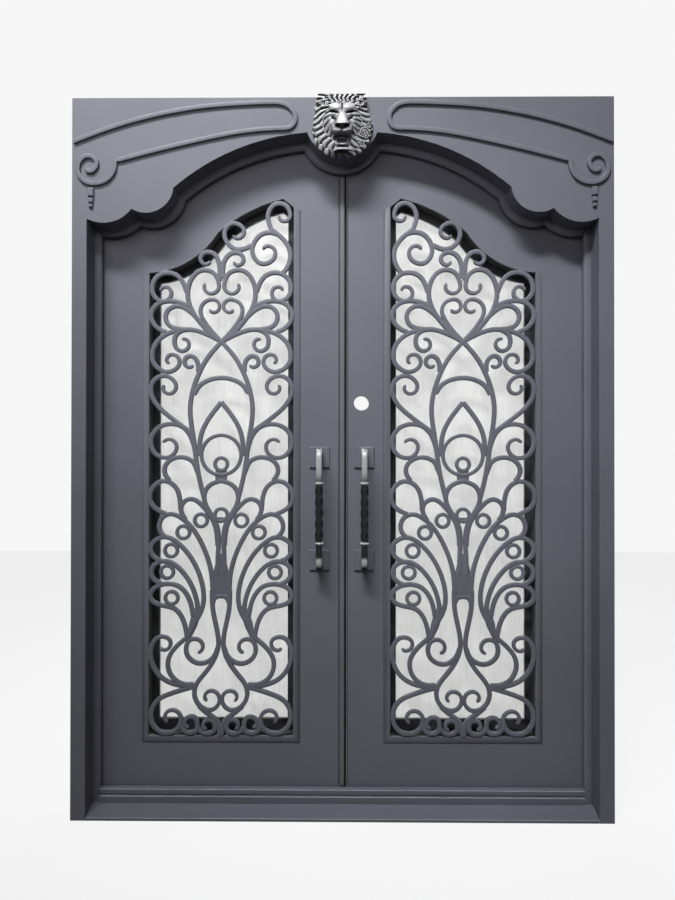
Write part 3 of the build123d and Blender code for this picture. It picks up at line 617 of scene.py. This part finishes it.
def web_grid(side, hand, stem, half_widths, section):
    """A solid web between bars, as a short bar whose width swells and falls."""
    line = smooth_line(np.array(stem, float) * MM, 6 * MM)
    along = np.linspace(0, 1, len(line))
    half = np.interp(along, np.linspace(0, 1, len(half_widths)), half_widths) * MM
    return carried_bar(on_leaf(side, hand, line), half, section,
                       GRILLE_FRONT + WEB_SET_BACK, GRILLE_BACK - WEB_SET_BACK)


def arc(start, middle, end, count):
    """Points on the circle through three points, by the meeting of two bisectors."""
    a, b, c = (np.array(p, float) for p in (start, middle, end))
    system = 2 * np.array([b - a, c - a])
    center = np.linalg.solve(system, [b @ b - a @ a, c @ c - a @ a])
    radius = np.linalg.norm(a - center)
    angles = [math.atan2(*(p - center)[::-1]) for p in (a, b, c)]
    first, mid, last = np.unwrap(angles)
    swing = np.linspace(first, last, count)
    return center + radius * np.stack([np.cos(swing), np.sin(swing)], axis=1)


def panel_outline():
    """The panel opening's edge: hollow arc, full arc, cut corner, sides and bottom."""
    w = PANEL_HALF / MM
    top = np.concatenate([
        arc((-w, 1630), (-114, 1673), (-14, 1771), 30)[:-1],
        arc((-14, 1771), (64, 1828), (w - 38, 1891), 30),
    ])
    rest = np.array([(w, 1861), (w, 1850), (w, 0), (-w, 0), (-w, 1620)], float)
    return np.concatenate([top, rest]) * MM


def offset_loop(loop, distance):
    """A closed outline grown by a distance, each corner on its own mitre."""
    before = np.roll(loop, 1, axis=0)
    after = np.roll(loop, -1, axis=0)
    d1 = (loop - before) / np.linalg.norm(loop - before, axis=1)[:, None]
    d2 = (after - loop) / np.linalg.norm(after - loop, axis=1)[:, None]
    n1 = np.stack([-d1[:, 1], d1[:, 0]], axis=1)
    n2 = np.stack([-d2[:, 1], d2[:, 0]], axis=1)
    mitre = (n1 + n2) / (1 + np.sum(n1 * n2, axis=1))[:, None]
    return loop + mitre * distance


def leaf_ring(side, loop, y):
    """A loop in the panel's own two measures, set on its leaf at one depth."""
    flat = on_leaf(side, 1, loop)
    return np.stack([flat[:, 0], np.full(len(loop), y), flat[:, 1]], axis=1)


def trim_grid(side):
    """The trim round the panel: a stepped profile carried round the opening on mitres, a
    full width along the sides and bottom and a quarter of it along the arcs."""
    proud = LEAF_FRONT
    face = -0.0028
    profile = np.array([
        (-1.5, GRILLE_BACK - proud), (-1.5, face + 0.001), (-0.7, face), (19.4, face),
        (20.4, face + 0.001), (20.4, 0.0), (0, 0.0), (0, GRILLE_BACK - proud),
    ])
    loop = panel_outline()
    straight = (np.abs(loop[:, 0]) > PANEL_HALF - 1e-6) & (loop[:, 1] < 1.855)
    straight[0] = False
    share = np.where(straight, 1, 0.25)[:, None]
    rings = []
    for distance, depth in profile:
        grown = loop + (offset_loop(loop, distance * MM) - loop) * (share if distance > 0 else 1)
        rings.append(leaf_ring(side, grown, proud + depth))
    points = np.array(rings)
    return points.reshape(-1, 3), grid_faces(*points.shape[:2], wrap_rows=True, wrap_columns=True)


def shade_lining_grid(side):
    """A near-black lining over the opening's walls, between the scrollwork and the glass frame:
    painted shade for the dark reveal.
    """
    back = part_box("left_glass_frame")[0].y
    corners = ((-0.7, GRILLE_BACK), (-0.7, back), (0.2, back), (0.2, GRILLE_BACK))
    rings = [leaf_ring(side, offset_loop(panel_outline(), d * MM), y) for d, y in corners]
    points = np.array(rings)
    return points.reshape(-1, 3), grid_faces(*points.shape[:2], wrap_rows=True, wrap_columns=True)


class DOOR_OT_scrollwork(bpy.types.Operator):
    """Trim, scroll bars, rings and webs of both leaves"""
    bl_idname = "door.scrollwork"
    bl_label = "Scrollwork"

    def execute(self, context):
        sizes = iron_of()
        section = round_section(16, 0.42)
        for name, side in SIDES.items():
            grids = [trim_grid(side)]
            for hand in (-1, 1):
                grids += [scroll_grid(side, hand, *bar, section, sizes) for bar in PAIRED_BARS]
                grids += [ring_grid(side, hand, *ring, section, sizes) for ring in PAIRED_RINGS]
                grids += [web_grid(side, hand, *web, section) for web in PAIRED_WEBS]
            grids += [scroll_grid(side, 1, *bar, section, sizes) for bar in SINGLE_BARS]
            grids += [ring_grid(side, 1, *ring, section, sizes) for ring in SINGLE_RINGS]
            grids += [web_grid(side, 1, *web, section) for web in WEBS]
            points, faces = join_grids(grids)
            piece = mesh_piece(name + "_scrollwork", points, faces)
            dress(piece, "iron_paint", name + "_leaf",
                  [name + "_grille"])
            # Near-black painted shade: a lining over the opening's walls, and strips along the
            # trim's outer edges, wider on one side, as painted shadow in the gap there.
            shade_strips = [shade_lining_grid(side)]
            for hand, width, high in ((1, 2.6, 1.85), (-1, 1.3, 1.62)):
                near = side * (PANEL_CENTER / MM - hand * (PANEL_HALF / MM + 20.4))
                far = near - side * hand * width
                front = LEAF_FRONT / MM
                outline = [(near, front), (near, front - 0.7), (far, front - 0.4), (far, front)]
                shade_strips.append(upright_strip(outline, PANEL_BOTTOM - 0.0204, PANEL_BOTTOM + high))
            piece = mesh_piece(name + "_panel_seal", *join_grids(shade_strips))
            dress(piece, "seal_rubber", name + "_leaf")
        return {"FINISHED"}


class DOOR_OT_header_ornament(bpy.types.Operator):
    """Raised bar with its volute on each side of the header, and a filler over each joint of jamb
    and header.
    """
    bl_idname = "door.header_ornament"
    bl_label = "Header ornament"

    def execute(self, context):
        width = iron_of().header_bar
        section = round_section(16, 0.45, flat_back=True)
        joint = JAMB_INNER / MM
        front = FRAME_FRONT / MM
        proud = FRAME_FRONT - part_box("left_header_scroll")[0].y
        for name, side in SIDES.items():
            grids = []
            for route, tip in ((SWOOSH, width), (VOLUTE, width * 0.9)):
                line = smooth_line(np.array(route, float) * MM, 14 * MM)
                half = bar_half_widths(line, width, tip, route is VOLUTE)
                place = line * (side, 1)
                grids.append(carried_bar(place, half, section, FRAME_FRONT - proud, FRAME_FRONT))
            piece = mesh_piece(name + "_raised_bar", *join_grids(grids))
            dress(piece, "iron_paint", "frame",
                  [name + "_header_scroll"])
            edges = ((joint - 0.6, front + 3), (joint - 0.5, front - 0.05),
                     (joint + 3, front - 0.05), (joint + 3.1, front + 3))
            outline = [(side * x, y) for x, y in edges]
            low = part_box("header_panel")[0].z + 0.004
            strip_piece(name + "_joint_filler", outline, low, FRAME_TOP,
                        "face_paint", "frame")
        return {"FINISHED"}


# Lion head

# The lion as the camera sees it against the header's face, in millimetres across and up
# from its middle, clockwise from the top
LION_OUTLINE = [(0, 118), (40, 118), (79, 118), (84, 88), (88, 58), (97, 32), (104, 10), (99, -22),
                (93, -42), (84, -64), (66, -83), (38, -96), (0, -100), (-34, -98), (-62, -86),
                (-86, -62), (-97, -30), (-103, -5), (-101, 14), (-95, 48), (-90, 84), (-82, 118),
                (-40, 118)]
LION_CURLS = ((73, -13, 19), (91, 12, 11), (61, -52, 12))


def hill(x, z, cx, cz, rx, rz, height, power=2):
    """A soft hill or, with a higher power, a flat-topped one: height times the bell of the
    distance from its middle in units of its two radii."""
    reach = ((x - cx) / rx) ** 2 + ((z - cz) / rz) ** 2
    return height * np.exp(-reach ** (power / 2))


def lion_locks(x, z):
    """Ridges of the mane, from 0 in a groove to 1 on a ridge. Locks run out along rays from
    a point behind the face, one for each side, wave a little with distance, and lie in tiers
    whose pattern is shifted. Between the ears they stand upright, and a few places curl."""
    a = np.abs(x)
    from_a = a + np.where(x < 0, 45, 70)
    from_z = z - np.where(x < 0, 108, 62)
    reach = np.hypot(from_a, from_z)
    turn = np.arctan2(from_z, from_a)
    first = 27 * turn + 0.6 * np.sin(reach / 11)
    tier = (np.hypot(a, z - 20) + 8 * np.abs(np.sin(first))) / 36
    phase = first + 1.9 * np.floor(tier)
    crown = 15 * np.arctan2(x, z - 35) + 0.7 * np.sin(z / 5)
    phase = np.where((z > 92) & (a < 48), crown, phase)
    for curl_x, curl_z, radius in LION_CURLS:
        away = np.hypot(x - curl_x, z - curl_z)
        curl = np.pi * away / 7.5 + np.arctan2(z - curl_z, x - curl_x)
        phase = np.where(away < radius, curl, phase)
    lap = 1 - 0.3 * (tier - np.floor(tier)) ** 3
    return np.abs(np.sin(phase)) ** 0.75 * lap


def lion_face(x, z):
    """Forms of the face in millimetres: brows with a furrow, eyes under them, a nose bridge
    that widens downwards, nostrils, muzzle, open mouth with tongue and teeth, lower lip and
    chin, cheeks and ears."""
    a = np.abs(x)
    h = hill(a, z, 0, 28, 46, 60, 14, 4)
    h += hill(a, z, 24, 76, 21, 12, 9, 3)
    h -= hill(a, z, 0, 74, 3.5, 12, 5)
    h -= hill(a, z - 0.18 * a, 28, 51, 14, 5, 15, 3)
    h += hill(a, z, 28, 50, 8, 4, 5)
    h -= hill(a, z - 0.5 * a, 30, 20, 8, 5, 9)
    width = 5 + np.clip(60 - z, 0, 46) * 0.44
    bridge = 1 / (1 + np.exp(np.clip((a - width) / 2, -30, 30)))
    bridge *= 1 / (1 + np.exp(np.clip((z - 60) / 3, -30, 30)))
    bridge *= 1 / (1 + np.exp(np.clip((16 - z) / 1.5, -30, 30)))
    h += bridge * (7 + np.clip(60 - z, 0, 46) * 0.26)
    h += hill(a, z, 0, 0, 34, 20, 12, 3)
    h += hill(a, z, 18, -7, 16, 11, 11, 3)
    h -= hill(a, z, 16, 9, 8, 5, 13) + hill(a, z, 0, 3, 14, 6, 9, 3)
    h -= hill(a, z, 0, -13, 3, 10, 9)
    h -= hill(a, z, 0, -34, 27, 12, 20, 4)
    h += hill(a, z, 0, -33, 13, 7, 9) + hill(a, z, 19, -40, 3, 7, 7)
    h += hill(a, z, 0, -53, 15, 5, 10) - hill(a, z, 0, -60, 18, 3, 6)
    h += hill(a, z + 0.006 * x ** 2, 0, -69, 26, 5, 13) - hill(a, z, 0, -80, 24, 5, 6)
    h += hill(a, z, 40, 10, 8, 26, 5) - hill(a, z + 0.3 * a, 37, 6, 5, 18, 6)
    h += hill(a, z, 62, 86, 17, 15, 11, 4) - hill(a, z, 61, 87, 9, 8, 11)
    h += hill(a, z, 57, 83, 2.5, 7, 6) + hill(a, z, 64, 84, 2, 6, 5)
    return h


def lion_painted_light(points, middle):
    """Painted highlight on brows, nose bridge, muzzle and lower lip, and painted shade under the
    nose, in the mouth and along the bottom, placed where each point stands before the camera.
    """
    reach = points[:, 1] - CAMERA[1]
    grow = (FRAME_FRONT - CAMERA[1]) / reach
    x = (CAMERA[0] + (points[:, 0] - CAMERA[0]) * grow) / MM
    z = (CAMERA[2] + (points[:, 2] - CAMERA[2]) * grow - middle) / MM
    a = np.abs(x)
    painted_light = hill(a, z, 23, 76, 21, 12, 0.42, 4) + hill(a, z, 0, 36, 17, 24, 0.34, 4)
    painted_light += hill(a, z, 18, -7, 15, 9, 0.12, 4) + hill(a, z, 0, -69, 24, 4, 0.2, 4)
    return painted_light - hill(a, z, 0, 5, 24, 9, 0.3, 4) - hill(a, z, 0, -36, 26, 13, 0.05, 4) \
        - hill(a, z, 0, -90, 40, 14, 0.5, 4)


class DOOR_OT_lion_head(bpy.types.Operator):
    """Cast lion head over the middle of the header"""
    bl_idname = "door.lion_head"
    bl_label = "Lion head"

    def execute(self, context):
        low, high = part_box("lion_head")
        middle = (high.z + low.z) / 2
        depth = (high.y - low.y) / MM
        outline = np.array(LION_OUTLINE, float)
        bearing = np.arctan2(outline[:, 0], outline[:, 1]) % (2 * np.pi)
        angle = np.linspace(0, 2 * np.pi, 440, endpoint=False)
        edge = np.interp(angle, np.append(bearing, 2 * np.pi),
                         np.append(np.hypot(*outline.T), np.hypot(*outline[0])))
        edge = np.where(np.abs(angle - np.pi) > np.pi - 0.59, 118 / np.cos(angle), edge)
        share = np.concatenate([[0.004], np.linspace(0.02, 0.985, 150), [0.995, 1]])
        t, s = np.meshgrid(angle, share, indexing="ij")
        reach = edge[:, None] * s
        x, z = reach * np.sin(t), reach * np.cos(t)
        notch = 1 - 0.07 * (1 - lion_locks(x[:, -1:], z[:, -1:])) * (z[:, -1:] < 90) * s ** 4
        x, z = x * notch, z * notch
        a = np.abs(x)
        mane = 1 - np.clip(hill(a, z, 0, 24, 48, 66, 1.15, 6), 0, 1)
        mane *= 1 - np.clip(hill(a, z, 0, -45, 30, 36, 1.1, 6), 0, 1)
        mane *= 1 - np.clip(hill(a, z, 26, 75, 22, 12, 1.2, 6), 0, 1)
        mane *= 1 - np.clip(hill(a, z, 61, 85, 13, 12, 1.1, 6), 0, 1)
        rim = 10 + 16 * np.clip((z - 80) / 25, 0, 1)
        height = rim + (24 - rim) * np.sqrt(np.clip(1 - s ** 2.6, 0, 1)) + lion_face(x, z)
        height += mane * (8 * lion_locks(x, z) - 5)
        height = np.clip(height, 4, depth) * (s < 1)
        shrink = 1 - height * MM / (FRAME_FRONT - CAMERA[1])
        place_x = CAMERA[0] + (x * MM - CAMERA[0]) * shrink
        place_z = CAMERA[2] + (middle + z * MM - CAMERA[2]) * shrink
        front_face = np.stack([np.clip(place_x, low.x, high.x), FRAME_FRONT - height * MM,
                               np.clip(place_z, low.z, high.z)], axis=-1)
        pole = np.zeros_like(front_face[:, :1])
        pole[..., 1] = FRAME_FRONT
        pole[..., 2] = middle
        cap = np.broadcast_to(front_face[:, :1].mean(axis=0, keepdims=True), pole.shape)
        points = np.concatenate([cap, front_face, pole], axis=1)
        faces = grid_faces(*points.shape[:2], wrap_rows=True)
        piece = mesh_piece("lion", points.reshape(-1, 3), faces, 80)
        made = vertex_places(piece)
        # The stored number: patina from the local relief, plus the painted highlight and shade.
        set_patina_and_light(piece, np.clip(local_relief(piece, made) + lion_painted_light(made, middle), 0, 1))
        dress(piece, "antique_silver", "frame", ["lion_head"])
        return {"FINISHED"}


def local_relief(piece, coordinates):
    """How far each vertex stands out from the average of its neighbours, from 0 to 1."""
    edges = np.empty(len(piece.data.edges) * 2, np.int32)
    piece.data.edges.foreach_get("vertices", edges)
    edges = edges.reshape(-1, 2)
    depth = coordinates[:, 1].copy()
    smooth = depth.copy()
    degree = np.bincount(edges.ravel(), minlength=len(depth))
    for _ in range(14):
        total = np.bincount(edges[:, 0], smooth[edges[:, 1]], len(depth))
        total += np.bincount(edges[:, 1], smooth[edges[:, 0]], len(depth))
        smooth = 0.2 * smooth + 0.8 * total / np.maximum(degree, 1)
    return np.clip(0.45 + (smooth - depth) / 0.004, 0, 1)


# Pulls

def swept_square(points, half, twist, power=0.5, count=16):
    """A rounded square carried along a line that stays in one upright plane, turned about
    the line by the twist at each station, with both ends closed."""
    points = np.asarray(points, float)
    direction = np.gradient(points, axis=0)
    direction /= np.linalg.norm(direction, axis=1)[:, None]
    side_way = np.broadcast_to([1.0, 0, 0], direction.shape)
    other = np.cross(direction, side_way)
    section = round_section(count, power)
    c, s = np.cos(twist)[:, None], np.sin(twist)[:, None]
    u = section[None, :, 0] * c - section[None, :, 1] * s
    v = section[None, :, 0] * s + section[None, :, 1] * c
    half = np.broadcast_to(half, (len(points),))[:, None, None]
    around = side_way[:, None, :] * u[..., None] + other[:, None, :] * v[..., None]
    body = points[:, None, :] + around * half
    ends = [np.broadcast_to(points[i], body[:1].shape) for i in (0, -1)]
    body = np.concatenate([ends[0], body, ends[1]])
    return body.reshape(-1, 3), grid_faces(*body.shape[:2], wrap_columns=True)


def turned_ring(x, y, z, profile):
    """A turned collar: a profile of (radius, height) carried round an upright line."""
    angle = np.linspace(0, 2 * np.pi, 36, endpoint=False)
    profile = np.array(profile, float) * MM
    radius = profile[:, 0][None, :]
    points = np.stack([
        x + radius * np.cos(angle)[:, None], y + radius * np.sin(angle)[:, None],
        np.broadcast_to(z + profile[:, 1], (len(angle), len(profile)))], axis=-1)
    return points.reshape(-1, 3), grid_faces(*points.shape[:2], wrap_rows=True)


def pull_highlight(height, top, bottom, upper, lower):
    """How bright the pull is painted, as a painted highlight: all down its top arm, fading towards
    the collar, on both collars, and in a spot on the bottom bend."""
    arm = np.clip((height - upper - 0.004) / (top - upper), 0, 1) ** 0.5
    collars = np.exp(-((height - upper) / 0.006) ** 4) + np.exp(-((height - lower) / 0.006) ** 4)
    spot = np.exp(-((height - bottom - 0.021) / 0.016) ** 4)
    return np.clip(0.1 + 1.1 * arm + 0.8 * collars + 0.8 * spot, 0, 1)


class DOOR_OT_pulls(bpy.types.Operator):
    """Bent pulls with turned collars and a twisted grip"""
    bl_idname = "door.pulls"
    bl_label = "Pulls"

    def execute(self, context):
        half = 10.5 * MM
        bend = 24 * MM
        collar_half = 8 * MM
        collar = [(0, -8), (10, -8), (12, -7), (12, -5), (11.5, -4), (14, -3.5), (15.5, -1.5),
                  (15.5, 1.5), (14, 3.5), (11.5, 4), (12, 5), (12, 7), (10, 8), (0, 8)]
        for name, side in SIDES.items():
            low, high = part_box(name + "_pull")
            x = (low.x + high.x) / 2
            y = low.y + 17 * MM
            top = high.z - half
            bottom = low.z + half
            upper = top - 110 * MM
            lower = upper - 205 * MM
            grids = []
            for arm, ring_z, way in ((top, upper, -1), (bottom, lower, 1)):
                quarter = np.linspace(0, np.pi / 2, 12)
                corner = np.stack([y + bend - bend * np.sin(quarter),
                                   arm + way * bend * (1 - np.cos(quarter))], axis=1)
                flat = np.linspace(high.y, y + bend, 6)[:-1]
                upright = np.linspace(arm + way * bend, ring_z, 10)[1:]
                route = np.concatenate([
                    np.stack([flat, np.full(5, arm)], axis=1), corner,
                    np.stack([np.full(9, y), upright], axis=1)])
                points = np.stack([np.full(len(route), x), route[:, 0], route[:, 1]], axis=1)
                grids.append(swept_square(points, half, np.zeros(len(points))))
                grids.append(turned_ring(x, y, ring_z, collar))
            stations = 110
            heights = np.linspace(lower + collar_half, upper - collar_half, stations)
            line = np.stack([np.full(stations, x), np.full(stations, y), heights], axis=1)
            turn = np.radians(450) * np.linspace(0, 1, stations)
            grids.append(swept_square(line, half * 1.05, turn, 0.35))
            piece = mesh_piece(name + "_forged_pull", *join_grids(grids), 45)
            heights = vertex_places(piece)[:, 2]
            # The pull's painted highlight is stored for the forged finish.
            set_patina_and_light(piece, pull_highlight(heights, top, bottom, upper, lower))
            dress(piece, "forged_bar", name + "_leaf", [name + "_pull"])
        return {"FINISHED"}


class DOOR_OT_meeting_edge(bpy.types.Operator):
    """Meeting strip with a near-black strip beside it as painted shadow, the bulb seal that fills
    the slot, and near-black strips along the stiles' edges as painted shadow
    """
    bl_idname = "door.meeting_edge"
    bl_label = "Meeting edge"

    def execute(self, context):
        low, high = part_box("astragal")
        right, back, proud = high.x / MM, high.y / MM, (high.y - low.y) / MM
        left = right - 15.8
        strip = [(left, back), (left, back - proud + 2.5), (left + 0.7, back - proud + 0.7),
                 (left + 2.5, back - proud), (right - 2.5, back - proud),
                 (right - 0.7, back - proud + 0.7), (right, back - proud + 2.5), (right, back)]
        strip_piece("meeting_strip", strip, low.z, high.z,
                    "iron_paint", "left_leaf", ["astragal"])
        # A near-black strip along the meeting strip's left edge: painted shadow for the gap there.
        shadow_bead = [(left - 6.5, back), (left - 5.5, back - 1.2), (left - 1, back - 1.6), (left, back)]
        strip_piece("strip_seal", shadow_bead, low.z, high.z, "seal_rubber", "left_leaf")
        low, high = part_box("meeting_seal")
        angle = np.linspace(0, 2 * np.pi, 16, endpoint=False)
        clearance = 0.3 * MM
        across = (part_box("right_lock_stile")[0].x - low.x - clearance) / 2
        deep = (high.y - low.y) / 2
        bulb = np.stack([(low.x + across + across * np.cos(angle)) / MM,
                         (low.y + deep + deep * np.sin(angle)) / MM], axis=1)
        strip_piece("bulb_seal", bulb, low.z, high.z,
                    "seal_rubber", "left_leaf", ["meeting_seal"])
        # Near-black strips on the leaves' fronts along the meeting and hinge edges: painted shadow
        # for the gaps there.
        stiles = (("lip_seal", "right", "right_lock_stile", 0, 1),
                  ("left_edge_seal", "left", "left_hinge_stile", 0, 1),
                  ("right_edge_seal", "right", "right_hinge_stile", 1, -1))
        profile = ((0.3, 0), (0.7, 0.8), (4.4, 0.8), (5, 0))
        front = LEAF_FRONT / MM
        for name, leaf, stile, end, way in stiles:
            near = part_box(stile)[end].x / MM
            lip = [(near + way * x, front - y) for x, y in profile]
            strip_piece(name, lip, low.z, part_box(stile)[1].z,
                        "seal_rubber", leaf + "_leaf")
        return {"FINISHED"}


class DOOR_OT_steel_finish(bpy.types.Operator):
    """Materials, and the paint and glass of the pieces that keep the frame's own shape"""
    bl_idname = "door.steel_finish"
    bl_label = "Finishes"

    def execute(self, context):
        finish = finish_of()
        paint_group = painted_surface_group()
        paint = tuple(finish.paint)
        # Lighter colour of the painted highlight along edges, for all paints below.
        edge_light = tuple(finish.edge_highlight)
        frame_paint = paint_material(
            "frame_paint", paint_group, paint, 1.12, edge_light, 0.5, 0.42, 0.0025)
        face_paint = paint_material(
            "face_paint", paint_group, paint, 1.12, edge_light, 0.0, 0.42, 0.0)
        iron_paint = paint_material(
            "iron_paint", paint_group, times(paint, 0.92), 1.25, edge_light, 0.35, 0.40, 0.001)
        # The sill's edges carry the strongest painted highlight, in a lighter colour at full share.
        sill_paint = paint_material(
            "sill_paint", paint_group, paint, 1.12, times(edge_light, 1.7), 1.0, 0.42, 0.004)
        # Glass frames painted near black: painted shade for the dark reveal inside the opening.
        sash_painted_shade = paint_material(
            "sash_painted_shade", paint_group, times(paint, 0.25), 1.3, edge_light, 0.1, 0.45, 0.001)
        # Rubber for the real seals; the same material colours the strips of painted shade.
        rubber = paint_material(
            "seal_rubber", paint_group, tuple(finish.seal), 1.6, edge_light, 0.0, 0.7, 0.0)
        rain = glass_material(rain_group(), tuple(finish.glass))
        hollow, silver = tuple(finish.hollow), tuple(finish.silver)
        metal_material("antique_silver", hollow, silver, 0.15, 0.85)
        metal_material("forged_bar", times(hollow, 0.6), silver, 0.15, 0.9)
        for name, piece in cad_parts.items():
            if name.endswith("_glass"):
                dress(piece, rain)
            elif name.endswith("_seal"):
                dress(piece, rubber)
            # Glass frames take the near-black painted shade.
            elif name.endswith("_glass_frame"):
                dress(piece, sash_painted_shade)
            elif name in ("sill", "threshold_stop"):
                dress(piece, sill_paint)
            elif name.endswith(("_pull_plates", "pendant")):
                dress(piece, iron_paint)
            elif name.endswith(FLUSH_PIECES):
                dress(piece, face_paint)
            else:
                dress(piece, frame_paint)
        return {"FINISHED"}


# Stage

def seen_directly(tree):
    """1 for rays from the camera, from mirror images and through glass, 0 for the light
    that surfaces scatter."""
    path = add_node(tree, "ShaderNodeLightPath")
    direct = add_node(tree, "ShaderNodeMath", {
        0: path.outputs["Is Camera Ray"], 1: path.outputs["Is Glossy Ray"]},
        operation="MAXIMUM")
    seen = add_node(tree, "ShaderNodeMath", {
        0: direct.outputs["Value"], 1: path.outputs["Is Transmission Ray"]},
        operation="MAXIMUM")
    return seen.outputs["Value"]


def floor_material():
    """Grey floor for scattered light, so that little comes back up from it. The camera,
    mirror images and glass see it pale, with the object's shadow kept."""
    material, tree = new_material("pale_floor")
    seen = seen_directly(tree)
    surface = tree.nodes["Principled BSDF"]
    feed(tree, surface, {
        "Base Color": mixed_colour(tree, seen, (0.2, 0.2, 0.2), (0.9, 0.9, 0.9)),
        "Roughness": 0.8})
    pale = add_node(tree, "ShaderNodeEmission", {"Color": SURROUNDINGS})
    share = add_node(tree, "ShaderNodeMath", {0: seen, 1: 0.9}, operation="MULTIPLY")
    mix = add_node(tree, "ShaderNodeMixShader", {
        "Fac": share.outputs["Value"], 1: surface.outputs["BSDF"], 2: pale.outputs["Emission"]})
    feed(tree, tree.nodes["Material Output"], {"Surface": mix.outputs["Shader"]})
    return material


# White of the surroundings as the camera sees them
SURROUNDINGS = (0.93, 0.93, 0.93, 1)
# What the lamps point at
LAMP_TARGET = (-0.2, 0, 1.95)
# Each lamp's name, place, size, spread in degrees and power
LAMPS = (
    ("key", (-1.0, -2.4, 5.2), (3.0, 0.5), 45, 46),
    ("front", (-0.6, -1.4, 2.5), (1.8, 0.5), 180, 13),
    ("fill", (0.6, -3.8, 1.7), (2.5, 2.5), 180, 4),
    ("back", (0.3, 2.2, 4.6), (2.0, 2.0), 180, 75),
)


class DOOR_OT_stage(bpy.types.Operator):
    """Pale floor, soft lamps, white surroundings and the camera"""
    bl_idname = "door.stage"
    bl_label = "Stage"

    def execute(self, context):
        scene = context.scene
        scene.view_settings.view_transform = "Standard"
        world = bpy.data.worlds.new("soft_room")
        scene.world = world
        world.use_nodes = True
        tree = world.node_tree
        sky = add_node(tree, "ShaderNodeTexCoord")
        upward = add_node(tree, "ShaderNodeSeparateXYZ", {"Vector": sky.outputs["Generated"]})
        strength = add_node(tree, "ShaderNodeMapRange", {
            "Value": upward.outputs["Z"], "From Min": -0.2, "From Max": 0.7,
            "To Min": 0.015, "To Max": 0.10})
        light = tree.nodes["Background"]
        feed(tree, light, {"Color": (1, 1, 1, 1), "Strength": strength.outputs["Result"]})
        pale = add_node(tree, "ShaderNodeBackground", {"Color": SURROUNDINGS})
        mix = add_node(tree, "ShaderNodeMixShader", {
            "Fac": seen_directly(tree), 1: light.outputs["Background"],
            2: pale.outputs["Background"]})
        feed(tree, tree.nodes["World Output"], {"Surface": mix.outputs["Shader"]})

        reach = 6.0
        corners = reach * np.array([(-1, -1, 0), (1, -1, 0), (1, 1, 0), (-1, 1, 0)])
        floor = mesh_piece("floor", corners, np.array([[0, 1, 2, 3]]))
        floor.data.materials.append(floor_material())

        for name, place, size, spread, power in LAMPS:
            lamp = bpy.data.lights.new(name, "AREA")
            lamp.shape = "RECTANGLE"
            lamp.size, lamp.size_y = size
            lamp.spread = math.radians(spread)
            lamp.energy = power
            holder = bpy.data.objects.new(name, lamp)
            scene.collection.objects.link(holder)
            holder.location = place
            aim = np.array(LAMP_TARGET) - np.array(place)
            tilt = math.atan2(math.hypot(aim[0], aim[1]), -aim[2])
            holder.rotation_euler = (tilt, 0, math.atan2(aim[1], aim[0]) - math.pi / 2)

        camera = bpy.data.cameras.new("photo_view")
        camera.lens = FOCAL_PIXELS * SENSOR / PHOTO_HEIGHT
        camera.sensor_width = SENSOR
        holder = bpy.data.objects.new("photo_view", camera)
        scene.collection.objects.link(holder)
        holder.location = CAMERA
        holder.rotation_euler = [math.radians(turn) for turn in CAMERA_TURN]
        scene.camera = holder
        return {"FINISHED"}


class DOOR_PT_panel(bpy.types.Panel):
    """Lists the door's operators and its sizes and colours"""
    bl_label = "Iron Door"
    bl_idname = "DOOR_PT_panel"
    bl_space_type = "VIEW_3D"
    bl_region_type = "UI"
    bl_category = "Iron Door"

    def draw(self, context):
        for step in STEPS:
            self.layout.operator(step.bl_idname)
        for owner in (context.scene.door_finish, context.scene.door_ironwork):
            for name in owner.bl_rna.properties.keys():
                if name not in ("rna_type", "name"):
                    self.layout.prop(owner, name)


STEPS = (DOOR_OT_steel_finish, DOOR_OT_scrollwork, DOOR_OT_header_ornament, DOOR_OT_lion_head,
         DOOR_OT_pulls, DOOR_OT_meeting_edge, DOOR_OT_stage)
CLASSES = (DoorFinish, Ironwork, *STEPS, DOOR_PT_panel)


def register():
    for item in CLASSES:
        bpy.utils.register_class(item)
    bpy.types.Scene.door_finish = bpy.props.PointerProperty(type=DoorFinish)
    bpy.types.Scene.door_ironwork = bpy.props.PointerProperty(type=Ironwork)


def unregister():
    del bpy.types.Scene.door_ironwork
    del bpy.types.Scene.door_finish
    for item in reversed(CLASSES):
        bpy.utils.unregister_class(item)


def main():
    register()
    bpy.ops.door.steel_finish()
    bpy.ops.door.scrollwork()
    bpy.ops.door.header_ornament()
    bpy.ops.door.lion_head()
    bpy.ops.door.pulls()
    bpy.ops.door.meeting_edge()
    bpy.ops.door.stage()


if __name__ == "__main__":
    main()
